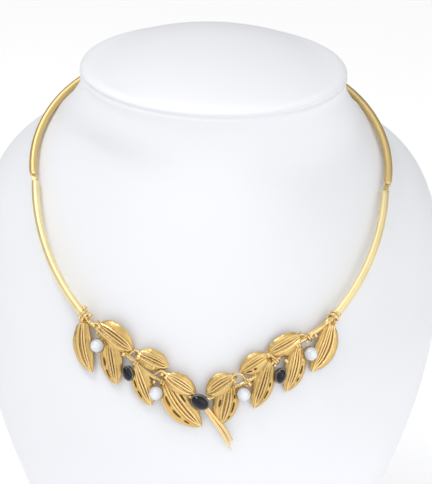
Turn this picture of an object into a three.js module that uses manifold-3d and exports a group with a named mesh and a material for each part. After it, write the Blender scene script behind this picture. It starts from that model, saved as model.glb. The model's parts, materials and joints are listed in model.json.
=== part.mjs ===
// A hinged gold collar necklace with a spray of leaves, pearls and dark cabochons, on a white neck bust.
// Millimetres and degrees. +Z is up, the bust faces -Y, and left and right are as seen from the front.

import * as THREE from 'three';
import { mergeVertices } from 'three/addons/utils/BufferGeometryUtils.js';
import Module from 'manifold-3d';

const wasm = await Module();
wasm.setup();

// ---------------------------------------------------------------- driving dimensions

const GAP = 0.3; // what separate pieces keep between them

const COLLAR = {
  tilt: 42, // slope of the collar's plane, which rises towards the nape
  height: 150, // the collar's centre above the base
  lift: 0.9, // how far the plane stands out along its normal
  tubeRadius: 1.45,
  tubeSides: 12,
  endRings: 8, // of the arm's round end
};

// Places on the collar are in its own plane: x across, y up the slope, z along the normal.
const HINGE = {
  x: 64,
  y: 8,
  pinRadius: 0.42,
  holeRadius: 0.62,
  eyeRadius: 1,
  sides: 12, // of the pin, its hole and the eye
  tongueWidth: 1.3,
  tongueThickness: 1,
  tongueBuried: 0.8, // length of the tongue inside the front tube
  slot: 1.5,
  slotDepth: 1.35,
};

const ARM = { startAngle: -8, cornerRadius: 43.5, cornerEnd: 50, steps: 28 };
const FRONT_TUBE = { x: 63.1, y: 6.2, radius: 87, startAngle: 2, endAngle: 40.5, steps: 16 };
const CLASP = { radius: 1.75, length: 9, sides: 20 };

// The bust's horizontal sections. The front of a section is an ellipse from the widest place to the
// front, drawn in by "pinch" between them, and the back is squarer. "lean" tips a section forward.
const BUST_COLUMNS = ['height', 'halfWidth', 'widestY', 'frontY', 'backY', 'pinch', 'lean'];
const BUST_ROWS = [
  [0, 55, 4, -37, 36, 0, 0],
  [28, 66, 8, -45.5, 40, 0, 0],
  [55, 77, 14, -52.5, 45, 0, 0],
  [80, 85, 22, -54, 48, 0.02, 0],
  [100, 88, 28, -50.3, 48.8, 0.04, 0],
  [114, 88, 32, -46.3, 48.8, 0.062, 0],
  [128, 87, 36, -43, 48.3, 0.078, 0],
  [142, 83.5, 38, -39.6, 47.6, 0.102, 0],
  [154, 77.2, 39, -36.4, 46.6, 0.12, 0],
  [162, 70.4, 38, -34, 45.9, 0.115, 0.015],
  [168, 63.3, 35, -32.4, 45.3, 0.1, 0.03],
  [174, 55.5, 29, -31, 44.8, 0.06, 0.05],
  [180, 50.1, 20, -29.8, 44.6, 0.012, 0.07],
  [186, 47.4, 12, -29.2, 44.8, 0, 0.09],
  [192, 46.6, 8.9, -29.3, 45.4, 0, 0.105],
  [194.5, 47.7, 8.7, -30.1, 46.6, 0, 0.105],
  [197, 47.9, 8.7, -30.2, 47.2, 0, 0.105],
  [198.6, 46.4, 8.7, -28.8, 45.8, 0, 0.105],
  [199.3, 43.6, 8.7, -26, 43, 0, 0.105],
].map((row) => Object.fromEntries(row.map((value, i) => [BUST_COLUMNS[i], value])));

// A section's back is as square as "squareness" says up to "shoulderHeight", and round from
// "neckHeight" up.
const BUST = {
  around: 40, levels: 24, pivotY: 9, squareness: 2.8, shoulderHeight: 150, neckHeight: 180,
};

// The spray is laid out on the chest as seen from the front: x across, drop below the collar's centre
// and lift off the chest. A leaf bows sideways by "bow", to its left as it points from base to tip.
const LEAF_COLUMNS = ['name', 'x', 'drop', 'tipX', 'tipDrop', 'width', 'bow', 'lift', 'tipLift'];
const LEAVES = [
  ['left_hanging', -43.3, 33.2, -39.6, 49.2, 7.8, -1.7, 1.7, 1.1],
  ['left_upper_1', -36.8, 33.4, -25.5, 38.7, 7.6, 0.4, 2.1, 1.3],
  ['left_lower_1', -34.3, 37.6, -30.9, 51.4, 7.4, -0.5, 1.6, 1.1],
  ['left_upper_2', -22.9, 38.8, -12.9, 41.8, 6.4, 0.4, 2.1, 1.3],
  ['left_lower_2', -25, 43.4, -18.4, 56.6, 7, -0.6, 1.6, 1.1],
  ['left_upper_3', -13.7, 45.3, -3.7, 50.5, 7.2, 0.6, 2.1, 1.3],
  ['left_lower_3', -13.9, 46.9, -1, 62.6, 8.8, -1.5, 1.6, 1.1],
  ['right_lower_3', 8.6, 46.9, 6.3, 62.4, 7.4, 0.3, 1.6, 1.1],
  ['right_upper_3', 10.3, 44.7, 0.9, 50.3, 7.2, -0.8, 2.1, 1.3],
  ['right_lower_2', 20.9, 41.8, 16.9, 55.9, 7.6, 0.3, 1.6, 1.1],
  ['right_upper_2', 20.8, 38.3, 12, 43.1, 7, -0.5, 2.1, 1.3],
  ['right_lower_1', 32.7, 37, 28.6, 51.1, 7.6, 0.2, 1.6, 1.1],
  ['right_upper_1', 31.5, 33, 21.8, 37.8, 6.6, -0.4, 2.1, 1.3],
  ['right_hanging', 43.3, 32.3, 36.9, 45.9, 8, 1.5, 1.7, 1.1],
].map((row) => Object.fromEntries(row.map((value, i) => [LEAF_COLUMNS[i], value])));

// A leaf's cross-sections run from "firstStation" of its length to as far from its tip. Its outline is
// rounder with a smaller "fullness", and widest before the middle with "skew" under 1.
const LEAF = {
  thickness: 0.6, camber: 0.9, rib: 0.35, stations: 5, firstStation: 0.115, fullness: 0.62, skew: 0.9,
};

const STEM = { radius: 0.75, sides: 6, stalkRadius: 0.45 };
const SOCKET = { depth: 3 }; // length of a branch inside its tube
// Points that the branches run through after leaving the tubes, to the centre: [x, drop, lift].
const LEFT_BRANCH = [[-38, 33.8, 2.8], [-26, 40.5, 2.4], [-15.6, 46, 2.3], [-2.5, 54, 2], [3.2, 58.8, 2],
  [10, 70.4, 1.8]];
const RIGHT_BRANCH = [[36, 33.8, 2.8], [24.7, 40, 2.4], [14, 46.8, 2.3], [2, 54.6, 2]];
// The twig that lies beside the left branch's tail.
const TWIG = [[-1, 52.3, 2.2], [4.8, 57.4, 2.2], [10.4, 67, 1.9]];

const WIRE = { radius: 0.32, sides: 4, stepsPerTurn: 8 };
// The binding over each tube's end, by its distances before and past that end.
const END_BINDING = { before: 2.2, past: 1.8, turns: 3 };

const GRANULE = { sides: 6, rings: 4 };
const GRANULE_COLUMNS = ['x', 'drop', 'lift', 'radius'];
const GRANULES = [
  [-37.3, 32.6, 3.6, 0.8],
  [-28.4, 40, 3.4, 0.75],
  [-23.5, 40, 3.2, 0.75],
  [-17.9, 42.9, 3.2, 0.75],
  [-14.8, 44.5, 3.2, 0.7],
  [-17.5, 48, 3, 0.65],
  [37, 35.2, 3.6, 0.8],
  [32.2, 35, 3.4, 0.75],
  [33.8, 41.4, 3, 0.7],
  [28, 40.6, 3.2, 0.8],
  [21.8, 37.9, 3.4, 0.7],
  [15.4, 46.9, 3.6, 0.7],
  [9.9, 45.9, 3.4, 0.7],
].map((row) => Object.fromEntries(row.map((value, i) => [GRANULE_COLUMNS[i], value])));

// Pearls sit in shallow cups. "lift" is the height of a pearl's centre off the chest.
const PEARL = { radius: 2.6, lift: 4, cupWall: 0.45, cupAngle: 62, cupSteps: 5, segments: 14 };
const PEARLS = [
  { name: 'pearl_left_outer', x: -37.9, drop: 39.2 },
  { name: 'pearl_left_inner', x: -16.8, drop: 51.1 },
  { name: 'pearl_right_inner', x: 13.5, drop: 50.4 },
  { name: 'pearl_right_outer', x: 36.6, drop: 39.6 },
];

// Oval stones in plain bezels: half lengths, and the turn of the long axis from upright, clockwise.
const BEZEL = {
  wall: 0.35, depth: 1.9, floor: 0.5, stoneEdge: 0.8, domeSteps: 5, segments: 16, lift: 2.3,
};
const CABOCHONS = [
  { name: 'cabochon_left', x: -26.5, drop: 46.5, long: 2.2, short: 1.5, dome: 1.3, turn: -27 },
  { name: 'cabochon_centre', x: -1.5, drop: 53.4, long: 2.9, short: 2, dome: 1.7, turn: 118 },
  { name: 'cabochon_right', x: 25.9, drop: 45.8, long: 2.2, short: 1.5, dome: 1.3, turn: 22 },
];

// ---------------------------------------------------------------- materials

const GOLD = new THREE.MeshStandardMaterial({ color: 0xd9b25a, roughness: 0.35, metalness: 1 });
const TUBE_GOLD = new THREE.MeshStandardMaterial({ color: 0xe3c777, roughness: 0.3, metalness: 1 });
const PEARL_WHITE = new THREE.MeshStandardMaterial({ color: 0xf2efec, roughness: 0.25, metalness: 0 });
const STONE_BLACK = new THREE.MeshStandardMaterial({ color: 0x14161e, roughness: 0.08, metalness: 0 });
const BUST_WHITE = new THREE.MeshStandardMaterial({ color: 0xf1f2f5, roughness: 0.7, metalness: 0 });

// ---------------------------------------------------------------- geometry helpers

const radians = THREE.MathUtils.degToRad;
const lerp = THREE.MathUtils.lerp;
const Z_AXIS = new THREE.Vector3(0, 0, 1);

// A closed geometry with shared corners and no flattened triangles.
function weld(geometry) {
  const bare = geometry.clone();
  bare.deleteAttribute('normal');
  bare.deleteAttribute('uv');
  const merged = mergeVertices(bare, 1e-3);
  const kept = [];
  for (let i = 0; i < merged.index.count; i += 3) {
    const corners = [0, 1, 2].map((k) => merged.index.getX(i + k));
    if (new Set(corners).size === 3) kept.push(...corners);
  }
  merged.setIndex(kept);
  return merged;
}

function toSolid(geometry) {
  const welded = weld(geometry);
  return new wasm.Manifold(new wasm.Mesh({
    numProp: 3,
    vertProperties: Float32Array.from(welded.attributes.position.array),
    triVerts: Uint32Array.from(welded.index.array),
  }));
}

function toGeometry(solid) {
  const mesh = solid.getMesh();
  const geometry = new THREE.BufferGeometry();
  geometry.setAttribute('position', new THREE.BufferAttribute(mesh.vertProperties, 3));
  geometry.setIndex(new THREE.BufferAttribute(mesh.triVerts, 1));
  return geometry;
}

function joined(geometries) {
  return geometries.map(toSolid).reduce((whole, piece) => whole.add(piece));
}

// The same shape on the other side of the YZ plane, with its faces still pointing out.
function mirrored(geometry) {
  const copy = weld(geometry).scale(-1, 1, 1);
  const corners = Array.from(copy.index.array);
  for (let i = 0; i < corners.length; i += 3) {
    [corners[i + 1], corners[i + 2]] = [corners[i + 2], corners[i + 1]];
  }
  copy.setIndex(corners);
  return copy;
}

// A closed skin over a row of rings, counter-clockwise as seen from the last one. A ring of one point
// is a pole.
function loft(rings) {
  const starts = [];
  rings.reduce((count, ring) => {
    starts.push(count);
    return count + ring.length;
  }, 0);
  const corners = [];
  for (let i = 0; i + 1 < rings.length; i += 1) {
    const [near, far] = [rings[i], rings[i + 1]];
    const count = Math.max(near.length, far.length);
    for (let j = 0; j < count; j += 1) {
      const next = (j + 1) % count;
      const [n0, n1] = near.length > 1 ? [j, next].map((k) => starts[i] + k) : [starts[i], starts[i]];
      const [f0, f1] = far.length > 1 ? [j, next].map((k) => starts[i + 1] + k)
        : [starts[i + 1], starts[i + 1]];
      if (near.length > 1) corners.push(n0, n1, f1);
      if (far.length > 1) corners.push(n0, f1, f0);
    }
  }
  return new THREE.BufferGeometry().setFromPoints(rings.flat()).setIndex(corners);
}

// A round bar along a curve.
function bar(curve, radius, sides, steps) {
  const section = new THREE.Shape().absarc(0, 0, radius, 0, 2 * Math.PI);
  return new THREE.ExtrudeGeometry(section, { extrudePath: curve, steps, curveSegments: sides / 2 });
}

// A cylinder with its axis along Z.
function disc(x, y, radius, height, sides) {
  return new THREE.CylinderGeometry(radius, radius, height, sides).rotateX(Math.PI / 2).translate(x, y, 0);
}

// ---------------------------------------------------------------- neck bust

// Column of the bust's table at any height, as a smooth curve that never overshoots its rows.
function bustColumn(column, height) {
  const rows = BUST_ROWS;
  const slope = (i) => (rows[i + 1][column] - rows[i][column]) / (rows[i + 1].height - rows[i].height);
  const tangent = (i) => {
    if (i === 0) return slope(0);
    if (i === rows.length - 1) return slope(i - 1);
    const [before, after] = [slope(i - 1), slope(i)];
    return before * after > 0 ? (2 * before * after) / (before + after) : 0;
  };
  const last = rows.length - 2;
  const i = Math.min(last, Math.max(0, rows.findIndex((row) => row.height > height) - 1));
  const k = height >= rows[rows.length - 1].height ? last : i;
  const span = rows[k + 1].height - rows[k].height;
  const t = (height - rows[k].height) / span;
  return (2 * t ** 3 - 3 * t ** 2 + 1) * rows[k][column]
    + (t ** 3 - 2 * t ** 2 + t) * span * tangent(k)
    + (3 * t ** 2 - 2 * t ** 3) * rows[k + 1][column]
    + (t ** 3 - t ** 2) * span * tangent(k + 1);
}

function bustSection(height) {
  return Object.fromEntries(BUST_COLUMNS.slice(1).map((name) => [name, bustColumn(name, height)]));
}

// A point of a section: angle 0 is the front, 90 the right side and 180 the back.
function sectionPoint(section, height, angle) {
  const [s, c] = [Math.sin(angle), Math.cos(angle)];
  const neck = THREE.MathUtils.smoothstep(height, BUST.shoulderHeight, BUST.neckHeight);
  const power = 2 / lerp(BUST.squareness, 2, neck);
  const drawnIn = 1 - section.pinch * Math.sin(2 * angle) ** 2;
  const x = c > 0 ? section.halfWidth * s * drawnIn
    : section.halfWidth * Math.sign(s) * Math.abs(s) ** power;
  const y = c > 0 ? section.widestY - (section.widestY - section.frontY) * c * drawnIn
    : section.widestY + (section.backY - section.widestY) * Math.abs(c) ** power;
  return new THREE.Vector3(x, y, height + section.lean * (y - BUST.pivotY));
}

function neckBust() {
  const rowHeights = BUST_ROWS.map((row) => row.height);
  const even = Array.from({ length: BUST.levels + 1 }, (_, i) => (i / BUST.levels) * BUST.neckHeight);
  const heights = even.concat(rowHeights.filter((height) => height > BUST.neckHeight));
  const rings = heights.map((height) => {
    const section = bustSection(height);
    return Array.from({ length: BUST.around }, (_, j) =>
      sectionPoint(section, height, (2 * Math.PI * j) / BUST.around));
  });
  const centreOf = (ring) => {
    const box = new THREE.Box3().setFromPoints(ring);
    return [box.getCenter(new THREE.Vector3())];
  };
  return loft([centreOf(rings[0]), ...rings, centreOf(rings[rings.length - 1])]);
}

// How far forward the chest lies at a place on it.
function chestY(x, height) {
  const section = bustSection(height);
  const halvings = 40;
  let [low, high] = [0, Math.PI / 2];
  for (let i = 0; i < halvings; i += 1) {
    const middle = (low + high) / 2;
    if (sectionPoint(section, height, middle).x < Math.abs(x)) low = middle;
    else high = middle;
  }
  return sectionPoint(section, height, low).y;
}

// The chest's outward direction at a place on it, from its slopes across and down.
function chestNormal(x, height) {
  const step = 0.5;
  const across = (chestY(x + step, height) - chestY(x - step, height)) / (2 * step);
  const upward = (chestY(x, height + step) - chestY(x, height - step)) / (2 * step);
  return new THREE.Vector3(across, -1, upward).normalize();
}

// A place in front of the chest, the given distance off its surface.
function offChest(x, drop, lift) {
  const height = COLLAR.height - drop;
  const forward = lift / -chestNormal(x, height).y;
  return new THREE.Vector3(x, chestY(x, height) - forward, height);
}

// Sets a piece made around +Z onto the chest, facing out, turned clockwise from upright.
function setOnChest(geometry, { x, drop, turn = 0 }, lift) {
  const outward = chestNormal(x, COLLAR.height - drop);
  const up = new THREE.Vector3(Math.sin(radians(turn)), 0, Math.cos(radians(turn)));
  up.addScaledVector(outward, -up.dot(outward)).normalize();
  const across = new THREE.Vector3().crossVectors(up, outward);
  const place = new THREE.Matrix4().makeBasis(across, up, outward).setPosition(offChest(x, drop, lift));
  return geometry.applyMatrix4(place);
}

// ---------------------------------------------------------------- collar

const collar = new THREE.Group();
collar.rotation.x = radians(COLLAR.tilt);
collar.position.set(
  0,
  -COLLAR.lift * Math.sin(radians(COLLAR.tilt)),
  COLLAR.height + COLLAR.lift * Math.cos(radians(COLLAR.tilt)),
);
collar.updateMatrix();

class FlatArc extends THREE.Curve {
  constructor(centreX, centreY, radius, start, end) {
    super();
    Object.assign(this, { centreX, centreY, radius, start, end });
  }

  getPoint(t, target = new THREE.Vector3()) {
    const angle = radians(lerp(this.start, this.end, t));
    return target.set(
      this.centreX + this.radius * Math.cos(angle),
      this.centreY + this.radius * Math.sin(angle),
      0,
    );
  }
}

// An arc that leaves a point of the right half, heading up the slope (direction 1) or down it (-1).
function arcFrom(x, y, radius, startAngle, endAngle, direction) {
  const start = radians(startAngle);
  const centreX = x - radius * Math.cos(start);
  const centreY = y - direction * radius * Math.sin(start);
  return new FlatArc(centreX, centreY, radius, direction * startAngle, direction * endAngle);
}

const armCorner = arcFrom(HINGE.x, HINGE.y, ARM.cornerRadius, ARM.startAngle, ARM.cornerEnd, 1);
const cornerEnd = armCorner.getPoint(1);
const napeRadius = cornerEnd.x / Math.cos(radians(ARM.cornerEnd));
const napeCentreY = cornerEnd.y - napeRadius * Math.sin(radians(ARM.cornerEnd));
// The arms' cut ends lean in a little, so their outer edges are the nearest to the clasp.
const claspRoom = CLASP.length / 2 + GAP + COLLAR.tubeRadius * (CLASP.length / 2 / napeRadius);
const napeEnd = THREE.MathUtils.radToDeg(Math.acos(claspRoom / napeRadius));
const armNape = new FlatArc(0, napeCentreY, napeRadius, ARM.cornerEnd, napeEnd);

const frontArc = arcFrom(
  FRONT_TUBE.x, FRONT_TUBE.y, FRONT_TUBE.radius, FRONT_TUBE.startAngle, FRONT_TUBE.endAngle, -1,
);

// The right arm: a tube whose round end is slotted for the front tube's tongue.
function armTube() {
  const path = new THREE.CurvePath();
  path.add(armCorner);
  path.add(armNape);
  const clear = 3 * COLLAR.tubeRadius; // enough for the slot to pass both walls and the round end
  const slot = new THREE.BoxGeometry(clear, HINGE.slotDepth + clear, HINGE.slot)
    .translate(0, (HINGE.slotDepth - clear) / 2, 0)
    .rotateZ(radians(ARM.startAngle))
    .translate(HINGE.x, HINGE.y, 0);
  const end = new THREE.SphereGeometry(COLLAR.tubeRadius, COLLAR.tubeSides, COLLAR.endRings)
    .rotateX(Math.PI / 2)
    .translate(HINGE.x, HINGE.y, 0);
  const tube = joined([bar(path, COLLAR.tubeRadius, COLLAR.tubeSides, ARM.steps), end]);
  return toGeometry(tube.subtract(toSolid(slot)).subtract(pinHole()));
}

function pinHole() {
  return toSolid(disc(HINGE.x, HINGE.y, HINGE.holeRadius, 3 * COLLAR.tubeRadius, HINGE.sides));
}

// The right front tube: from the hinge's tongue down to the open end that the branch goes into.
function frontTube() {
  const start = new THREE.Vector2(FRONT_TUBE.x, FRONT_TUBE.y);
  const pin = new THREE.Vector2(HINGE.x, HINGE.y);
  const along = pin.clone().sub(start);
  const length = along.length() + HINGE.tongueBuried;
  const neck = new THREE.BoxGeometry(HINGE.tongueWidth, length, HINGE.tongueThickness)
    .translate(0, -length / 2, 0)
    .rotateZ(along.angle() - Math.PI / 2)
    .translate(HINGE.x, HINGE.y, 0);
  const eye = disc(HINGE.x, HINGE.y, HINGE.eyeRadius, HINGE.tongueThickness, HINGE.sides);
  const outer = joined([bar(frontArc, COLLAR.tubeRadius, COLLAR.tubeSides, FRONT_TUBE.steps), neck, eye]);
  const bore = bar(socketCurve(), STEM.radius + GAP, COLLAR.tubeSides, 1);
  return toGeometry(outer.subtract(pinHole()).subtract(toSolid(bore)));
}

// The bore in the front tube's lower end.
function socketCurve() {
  const end = frontArc.getPoint(1);
  const along = frontArc.getTangent(1);
  return new THREE.LineCurve3(end.clone().addScaledVector(along, -SOCKET.depth), end.clone().add(along));
}

// ---------------------------------------------------------------- spray of leaves

// The same place in the spray's frame as a point of the collar's own plane.
function fromCollar(point) {
  return point.clone().applyMatrix4(collar.matrix);
}

// On the line of a front tube's lower end (side -1 left, 1 right), a distance past the end.
function onTubeEndLine(side, distance) {
  const point = frontArc.getPoint(1).addScaledVector(frontArc.getTangent(1), distance);
  return fromCollar(point.setX(side * point.x));
}

// A branch: out of the tube's bore on one side and along its points.
function branchCurve(side, points) {
  const inTube = [-SOCKET.depth + GAP, 0].map((distance) => onTubeEndLine(side, distance));
  const onChest = points.map(([x, drop, lift]) => offChest(x, drop, lift));
  return new THREE.CatmullRomCurve3([...inTube, ...onChest], false, 'centripetal');
}

const leftBranch = branchCurve(-1, LEFT_BRANCH);
const rightBranch = branchCurve(1, RIGHT_BRANCH);
const twig = new THREE.CatmullRomCurve3(TWIG.map(([x, drop, lift]) => offChest(x, drop, lift)));

// A short bar from the nearest branch to a place on a leaf or a setting.
function stalk(end) {
  const samples = 80;
  const along = [leftBranch, rightBranch].flatMap((branch) => branch.getSpacedPoints(samples));
  const start = along.reduce((best, point) =>
    (point.distanceTo(end) < best.distanceTo(end) ? point : best));
  const reach = start.distanceTo(end);
  if (reach < STEM.radius) return [];
  return [bar(new THREE.LineCurve3(start, end), STEM.stalkRadius, STEM.sides, 1)];
}

// A coil that keeps its first radius as far as "taperFrom" of its length.
class Helix extends THREE.Curve {
  constructor(start, end, startRadius, endRadius, turns, taperFrom) {
    super();
    Object.assign(this, { start, end, startRadius, endRadius, turns, taperFrom });
    const along = end.clone().sub(start).normalize();
    this.across = new THREE.Vector3().crossVectors(along, Z_AXIS).normalize();
    this.over = new THREE.Vector3().crossVectors(along, this.across);
  }

  getPoint(t, target = new THREE.Vector3()) {
    const angle = 2 * Math.PI * this.turns * t;
    const taper = THREE.MathUtils.clamp((t - this.taperFrom) / (1 - this.taperFrom), 0, 1);
    const radius = lerp(this.startRadius, this.endRadius, taper);
    return target.lerpVectors(this.start, this.end, t)
      .addScaledVector(this.across, radius * Math.cos(angle))
      .addScaledVector(this.over, radius * Math.sin(angle));
  }
}

// Wire from round the tube's end, clear of the tube, down onto the branch.
function endBinding(side) {
  const branch = side < 0 ? leftBranch : rightBranch;
  const start = onTubeEndLine(side, -END_BINDING.before);
  const end = branch.getPointAt((SOCKET.depth - GAP + END_BINDING.past) / branch.getLength());
  const clear = COLLAR.tubeRadius + 2 * GAP + WIRE.radius; // its line isn't quite the tube's
  const overTube = (END_BINDING.before + GAP + WIRE.radius) / (END_BINDING.before + END_BINDING.past);
  const helix = new Helix(start, end, clear, STEM.radius, END_BINDING.turns, overTube);
  return bar(helix, WIRE.radius, WIRE.sides, END_BINDING.turns * WIRE.stepsPerTurn);
}

// A leaf: a thin bowed plate with a raised midrib, pointed at both ends.
function leafBlade(leaf) {
  const base = new THREE.Vector2(leaf.x, leaf.drop);
  const tip = new THREE.Vector2(leaf.tipX, leaf.tipDrop);
  const along = tip.clone().sub(base);
  const side = new THREE.Vector2(along.y, -along.x).normalize();
  const place = (t, s, above) => {
    const fullness = Math.sin(Math.PI * t ** LEAF.skew) ** LEAF.fullness;
    const spread = leaf.bow * 4 * t * (1 - t) + s * (leaf.width / 2) * fullness;
    const spot = base.clone().addScaledVector(along, t).addScaledVector(side, spread);
    const dome = LEAF.camber * (1 - s * s) * fullness;
    return offChest(spot.x, spot.y, lerp(leaf.lift, leaf.tipLift, t) + dome + above);
  };
  const half = LEAF.thickness / 2;
  const ring = (t) => [
    ...[-1, 0, 1].map((s) => place(t, s, -half)),
    ...[1, 0, -1].map((s) => place(t, s, half + (s === 0 ? LEAF.rib : 0))),
  ];
  const stations = Array.from({ length: LEAF.stations }, (_, i) =>
    lerp(LEAF.firstStation, 1 - LEAF.firstStation, i / (LEAF.stations - 1)));
  return loft([[place(0, 0, 0)], ...stations.map(ring), [place(1, 0, 0)]]);
}

function leafRoot(leaf) {
  const reach = 0.16; // of the leaf's length
  const [x, drop] = [lerp(leaf.x, leaf.tipX, reach), lerp(leaf.drop, leaf.tipDrop, reach)];
  return offChest(x, drop, lerp(leaf.lift, leaf.tipLift, reach) + LEAF.camber / 2);
}

// A small ball on its own stalk.
function granule({ x, drop, lift, radius }) {
  const centre = offChest(x, drop, lift);
  const ball = new THREE.SphereGeometry(radius, GRANULE.sides, GRANULE.rings)
    .translate(centre.x, centre.y, centre.z);
  return [ball, ...stalk(centre)];
}

// ---------------------------------------------------------------- pearls and stones

function pearl({ x, drop }, radius = PEARL.radius) {
  const ball = new THREE.SphereGeometry(radius, PEARL.segments, PEARL.segments / 2).rotateX(Math.PI / 2);
  return setOnChest(ball, { x, drop }, PEARL.lift);
}

// The blank of a pearl's cup, before the pearl's room is cut out of it.
function cupBlank(spot) {
  const outer = PEARL.radius + GAP + PEARL.cupWall;
  const arc = Array.from({ length: PEARL.cupSteps + 1 }, (_, i) => {
    const angle = radians((PEARL.cupAngle * i) / PEARL.cupSteps);
    return new THREE.Vector2(outer * Math.sin(angle), -outer * Math.cos(angle));
  });
  const rim = arc[arc.length - 1];
  const blank = new THREE.LatheGeometry([...arc, new THREE.Vector2(0, rim.y)], PEARL.segments);
  return setOnChest(blank.rotateX(Math.PI / 2), spot, PEARL.lift);
}

// An upright oval block, from one height to another.
function ovalBlock(stone, margin, bottom, top) {
  return new THREE.CylinderGeometry(1, 1, top - bottom, BEZEL.segments)
    .rotateX(Math.PI / 2)
    .scale(stone.short + margin, stone.long + margin, 1)
    .translate(0, 0, (top + bottom) / 2);
}

function bezelBlank(stone) {
  return setOnChest(ovalBlock(stone, GAP + BEZEL.wall, 0, BEZEL.depth), stone, BEZEL.lift);
}

function stoneRoom(stone) {
  return setOnChest(ovalBlock(stone, GAP, BEZEL.floor, 3 * BEZEL.depth), stone, BEZEL.lift);
}

function cabochon(stone) {
  const top = new THREE.Vector2(0, BEZEL.stoneEdge + stone.dome);
  const dome = Array.from({ length: BEZEL.domeSteps }, (_, i) => {
    const angle = radians((90 * i) / BEZEL.domeSteps);
    return new THREE.Vector2(Math.cos(angle), BEZEL.stoneEdge + stone.dome * Math.sin(angle));
  });
  const profile = [new THREE.Vector2(0, 0), new THREE.Vector2(1, 0), ...dome, top];
  const blank = new THREE.LatheGeometry(profile, BEZEL.segments)
    .rotateX(Math.PI / 2)
    .scale(stone.short, stone.long, 1)
    .translate(0, 0, BEZEL.floor + GAP);
  return setOnChest(blank, stone, BEZEL.lift);
}

// ---------------------------------------------------------------- the soldered spray

function leafSpray() {
  const branches = [[leftBranch, 26], [rightBranch, 20], [twig, 6]]
    .map(([curve, steps]) => bar(curve, STEM.radius, STEM.sides, steps));
  const cupBack = PEARL.lift - PEARL.radius;
  const bezelBack = BEZEL.lift + BEZEL.floor / 2;
  const pieces = [
    ...branches,
    ...LEAVES.flatMap((leaf) => [leafBlade(leaf), ...stalk(leafRoot(leaf))]),
    ...PEARLS.flatMap((spot) => [cupBlank(spot), ...stalk(offChest(spot.x, spot.drop, cupBack))]),
    ...CABOCHONS.flatMap((stone) =>
      [bezelBlank(stone), ...stalk(offChest(stone.x, stone.drop, bezelBack))]),
    endBinding(-1),
    endBinding(1),
    ...GRANULES.flatMap(granule),
  ];
  const rooms = [
    ...PEARLS.map((spot) => pearl(spot, PEARL.radius + GAP)),
    ...CABOCHONS.map(stoneRoom),
  ];
  const cut = rooms.map(toSolid).reduce((spray, room) => spray.subtract(room), joined(pieces));
  // The cuts can leave crumbs behind, which aren't part of the spray.
  return cut.decompose().reduce((best, body) => (body.volume() > best.volume() ? body : best));
}

// ---------------------------------------------------------------- assembly

const necklaceOnBust = new THREE.Group();

function addPiece(group, name, geometry, material) {
  const mesh = new THREE.Mesh(geometry, material);
  mesh.name = name;
  group.add(mesh);
}

for (const side of ['left', 'right']) {
  const handed = (geometry) => (side === 'left' ? mirrored(geometry) : geometry);
  const pin = disc(HINGE.x, HINGE.y, HINGE.pinRadius, 2 * COLLAR.tubeRadius, HINGE.sides);
  addPiece(collar, `front_tube_${side}`, handed(frontTube()), TUBE_GOLD);
  addPiece(collar, `arm_${side}`, handed(armTube()), TUBE_GOLD);
  addPiece(collar, `hinge_pin_${side}`, handed(pin), TUBE_GOLD);
}
const claspBarrel = new THREE.CylinderGeometry(CLASP.radius, CLASP.radius, CLASP.length, CLASP.sides)
  .rotateZ(Math.PI / 2)
  .translate(0, napeCentreY + napeRadius, 0);
addPiece(collar, 'clasp', claspBarrel, TUBE_GOLD);

addPiece(necklaceOnBust, 'neck_bust', neckBust(), BUST_WHITE);
addPiece(necklaceOnBust, 'leaf_spray', toGeometry(leafSpray()), GOLD);
for (const spot of PEARLS) addPiece(necklaceOnBust, spot.name, pearl(spot), PEARL_WHITE);
for (const stone of CABOCHONS) addPiece(necklaceOnBust, stone.name, cabochon(stone), STONE_BLACK);
necklaceOnBust.add(collar);

// The origin is under the middle of the whole, on the surface that the bust stands on.
necklaceOnBust.updateMatrixWorld(true);
const extent = new THREE.Box3().setFromObject(necklaceOnBust);
const middle = extent.getCenter(new THREE.Vector3());
necklaceOnBust.position.set(-middle.x, -middle.y, -extent.min.z);

export default necklaceOnBust;
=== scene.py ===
"""A hinged gold collar necklace with a spray of leaves, pearls and dark stones, on a white neck bust."""

import json
import math
from collections import namedtuple

import bmesh
import bpy
from bpy.props import FloatProperty, FloatVectorProperty, IntProperty, PointerProperty
from mathutils import Matrix, Vector
from mathutils.bvhtree import BVHTree


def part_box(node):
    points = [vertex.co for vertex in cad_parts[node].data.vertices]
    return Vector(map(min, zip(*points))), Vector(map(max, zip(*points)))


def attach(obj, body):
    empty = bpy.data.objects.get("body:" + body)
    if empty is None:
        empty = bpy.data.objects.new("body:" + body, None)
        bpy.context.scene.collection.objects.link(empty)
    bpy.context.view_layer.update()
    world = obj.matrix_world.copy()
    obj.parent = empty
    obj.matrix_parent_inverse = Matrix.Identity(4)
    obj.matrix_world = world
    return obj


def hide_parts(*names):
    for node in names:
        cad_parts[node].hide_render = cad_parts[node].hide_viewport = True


bl_info = {
    "name": "Choker necklace on a neck bust",
    "version": (1, 0, 0),
    "blender": (4, 5, 0),
    "location": "View3D > Sidebar > Necklace",
    "description": "Builds a gold collar necklace with leaves, pearls and dark stones on its neck bust",
    "category": "Object",
}

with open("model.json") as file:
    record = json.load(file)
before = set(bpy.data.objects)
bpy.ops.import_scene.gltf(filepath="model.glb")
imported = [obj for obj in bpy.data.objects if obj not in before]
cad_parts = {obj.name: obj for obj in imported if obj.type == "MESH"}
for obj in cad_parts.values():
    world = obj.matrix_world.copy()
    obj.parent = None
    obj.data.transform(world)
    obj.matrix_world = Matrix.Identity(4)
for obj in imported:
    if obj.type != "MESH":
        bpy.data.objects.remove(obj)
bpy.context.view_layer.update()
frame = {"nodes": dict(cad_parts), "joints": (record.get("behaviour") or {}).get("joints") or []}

MM = 0.001
UP = Vector((0, 0, 1))
ACROSS = Vector((1, 0, 0))
BACK = Vector((0, 1, 0))

# ------------------------------------------------------------------ the frame that the pieces follow

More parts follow.
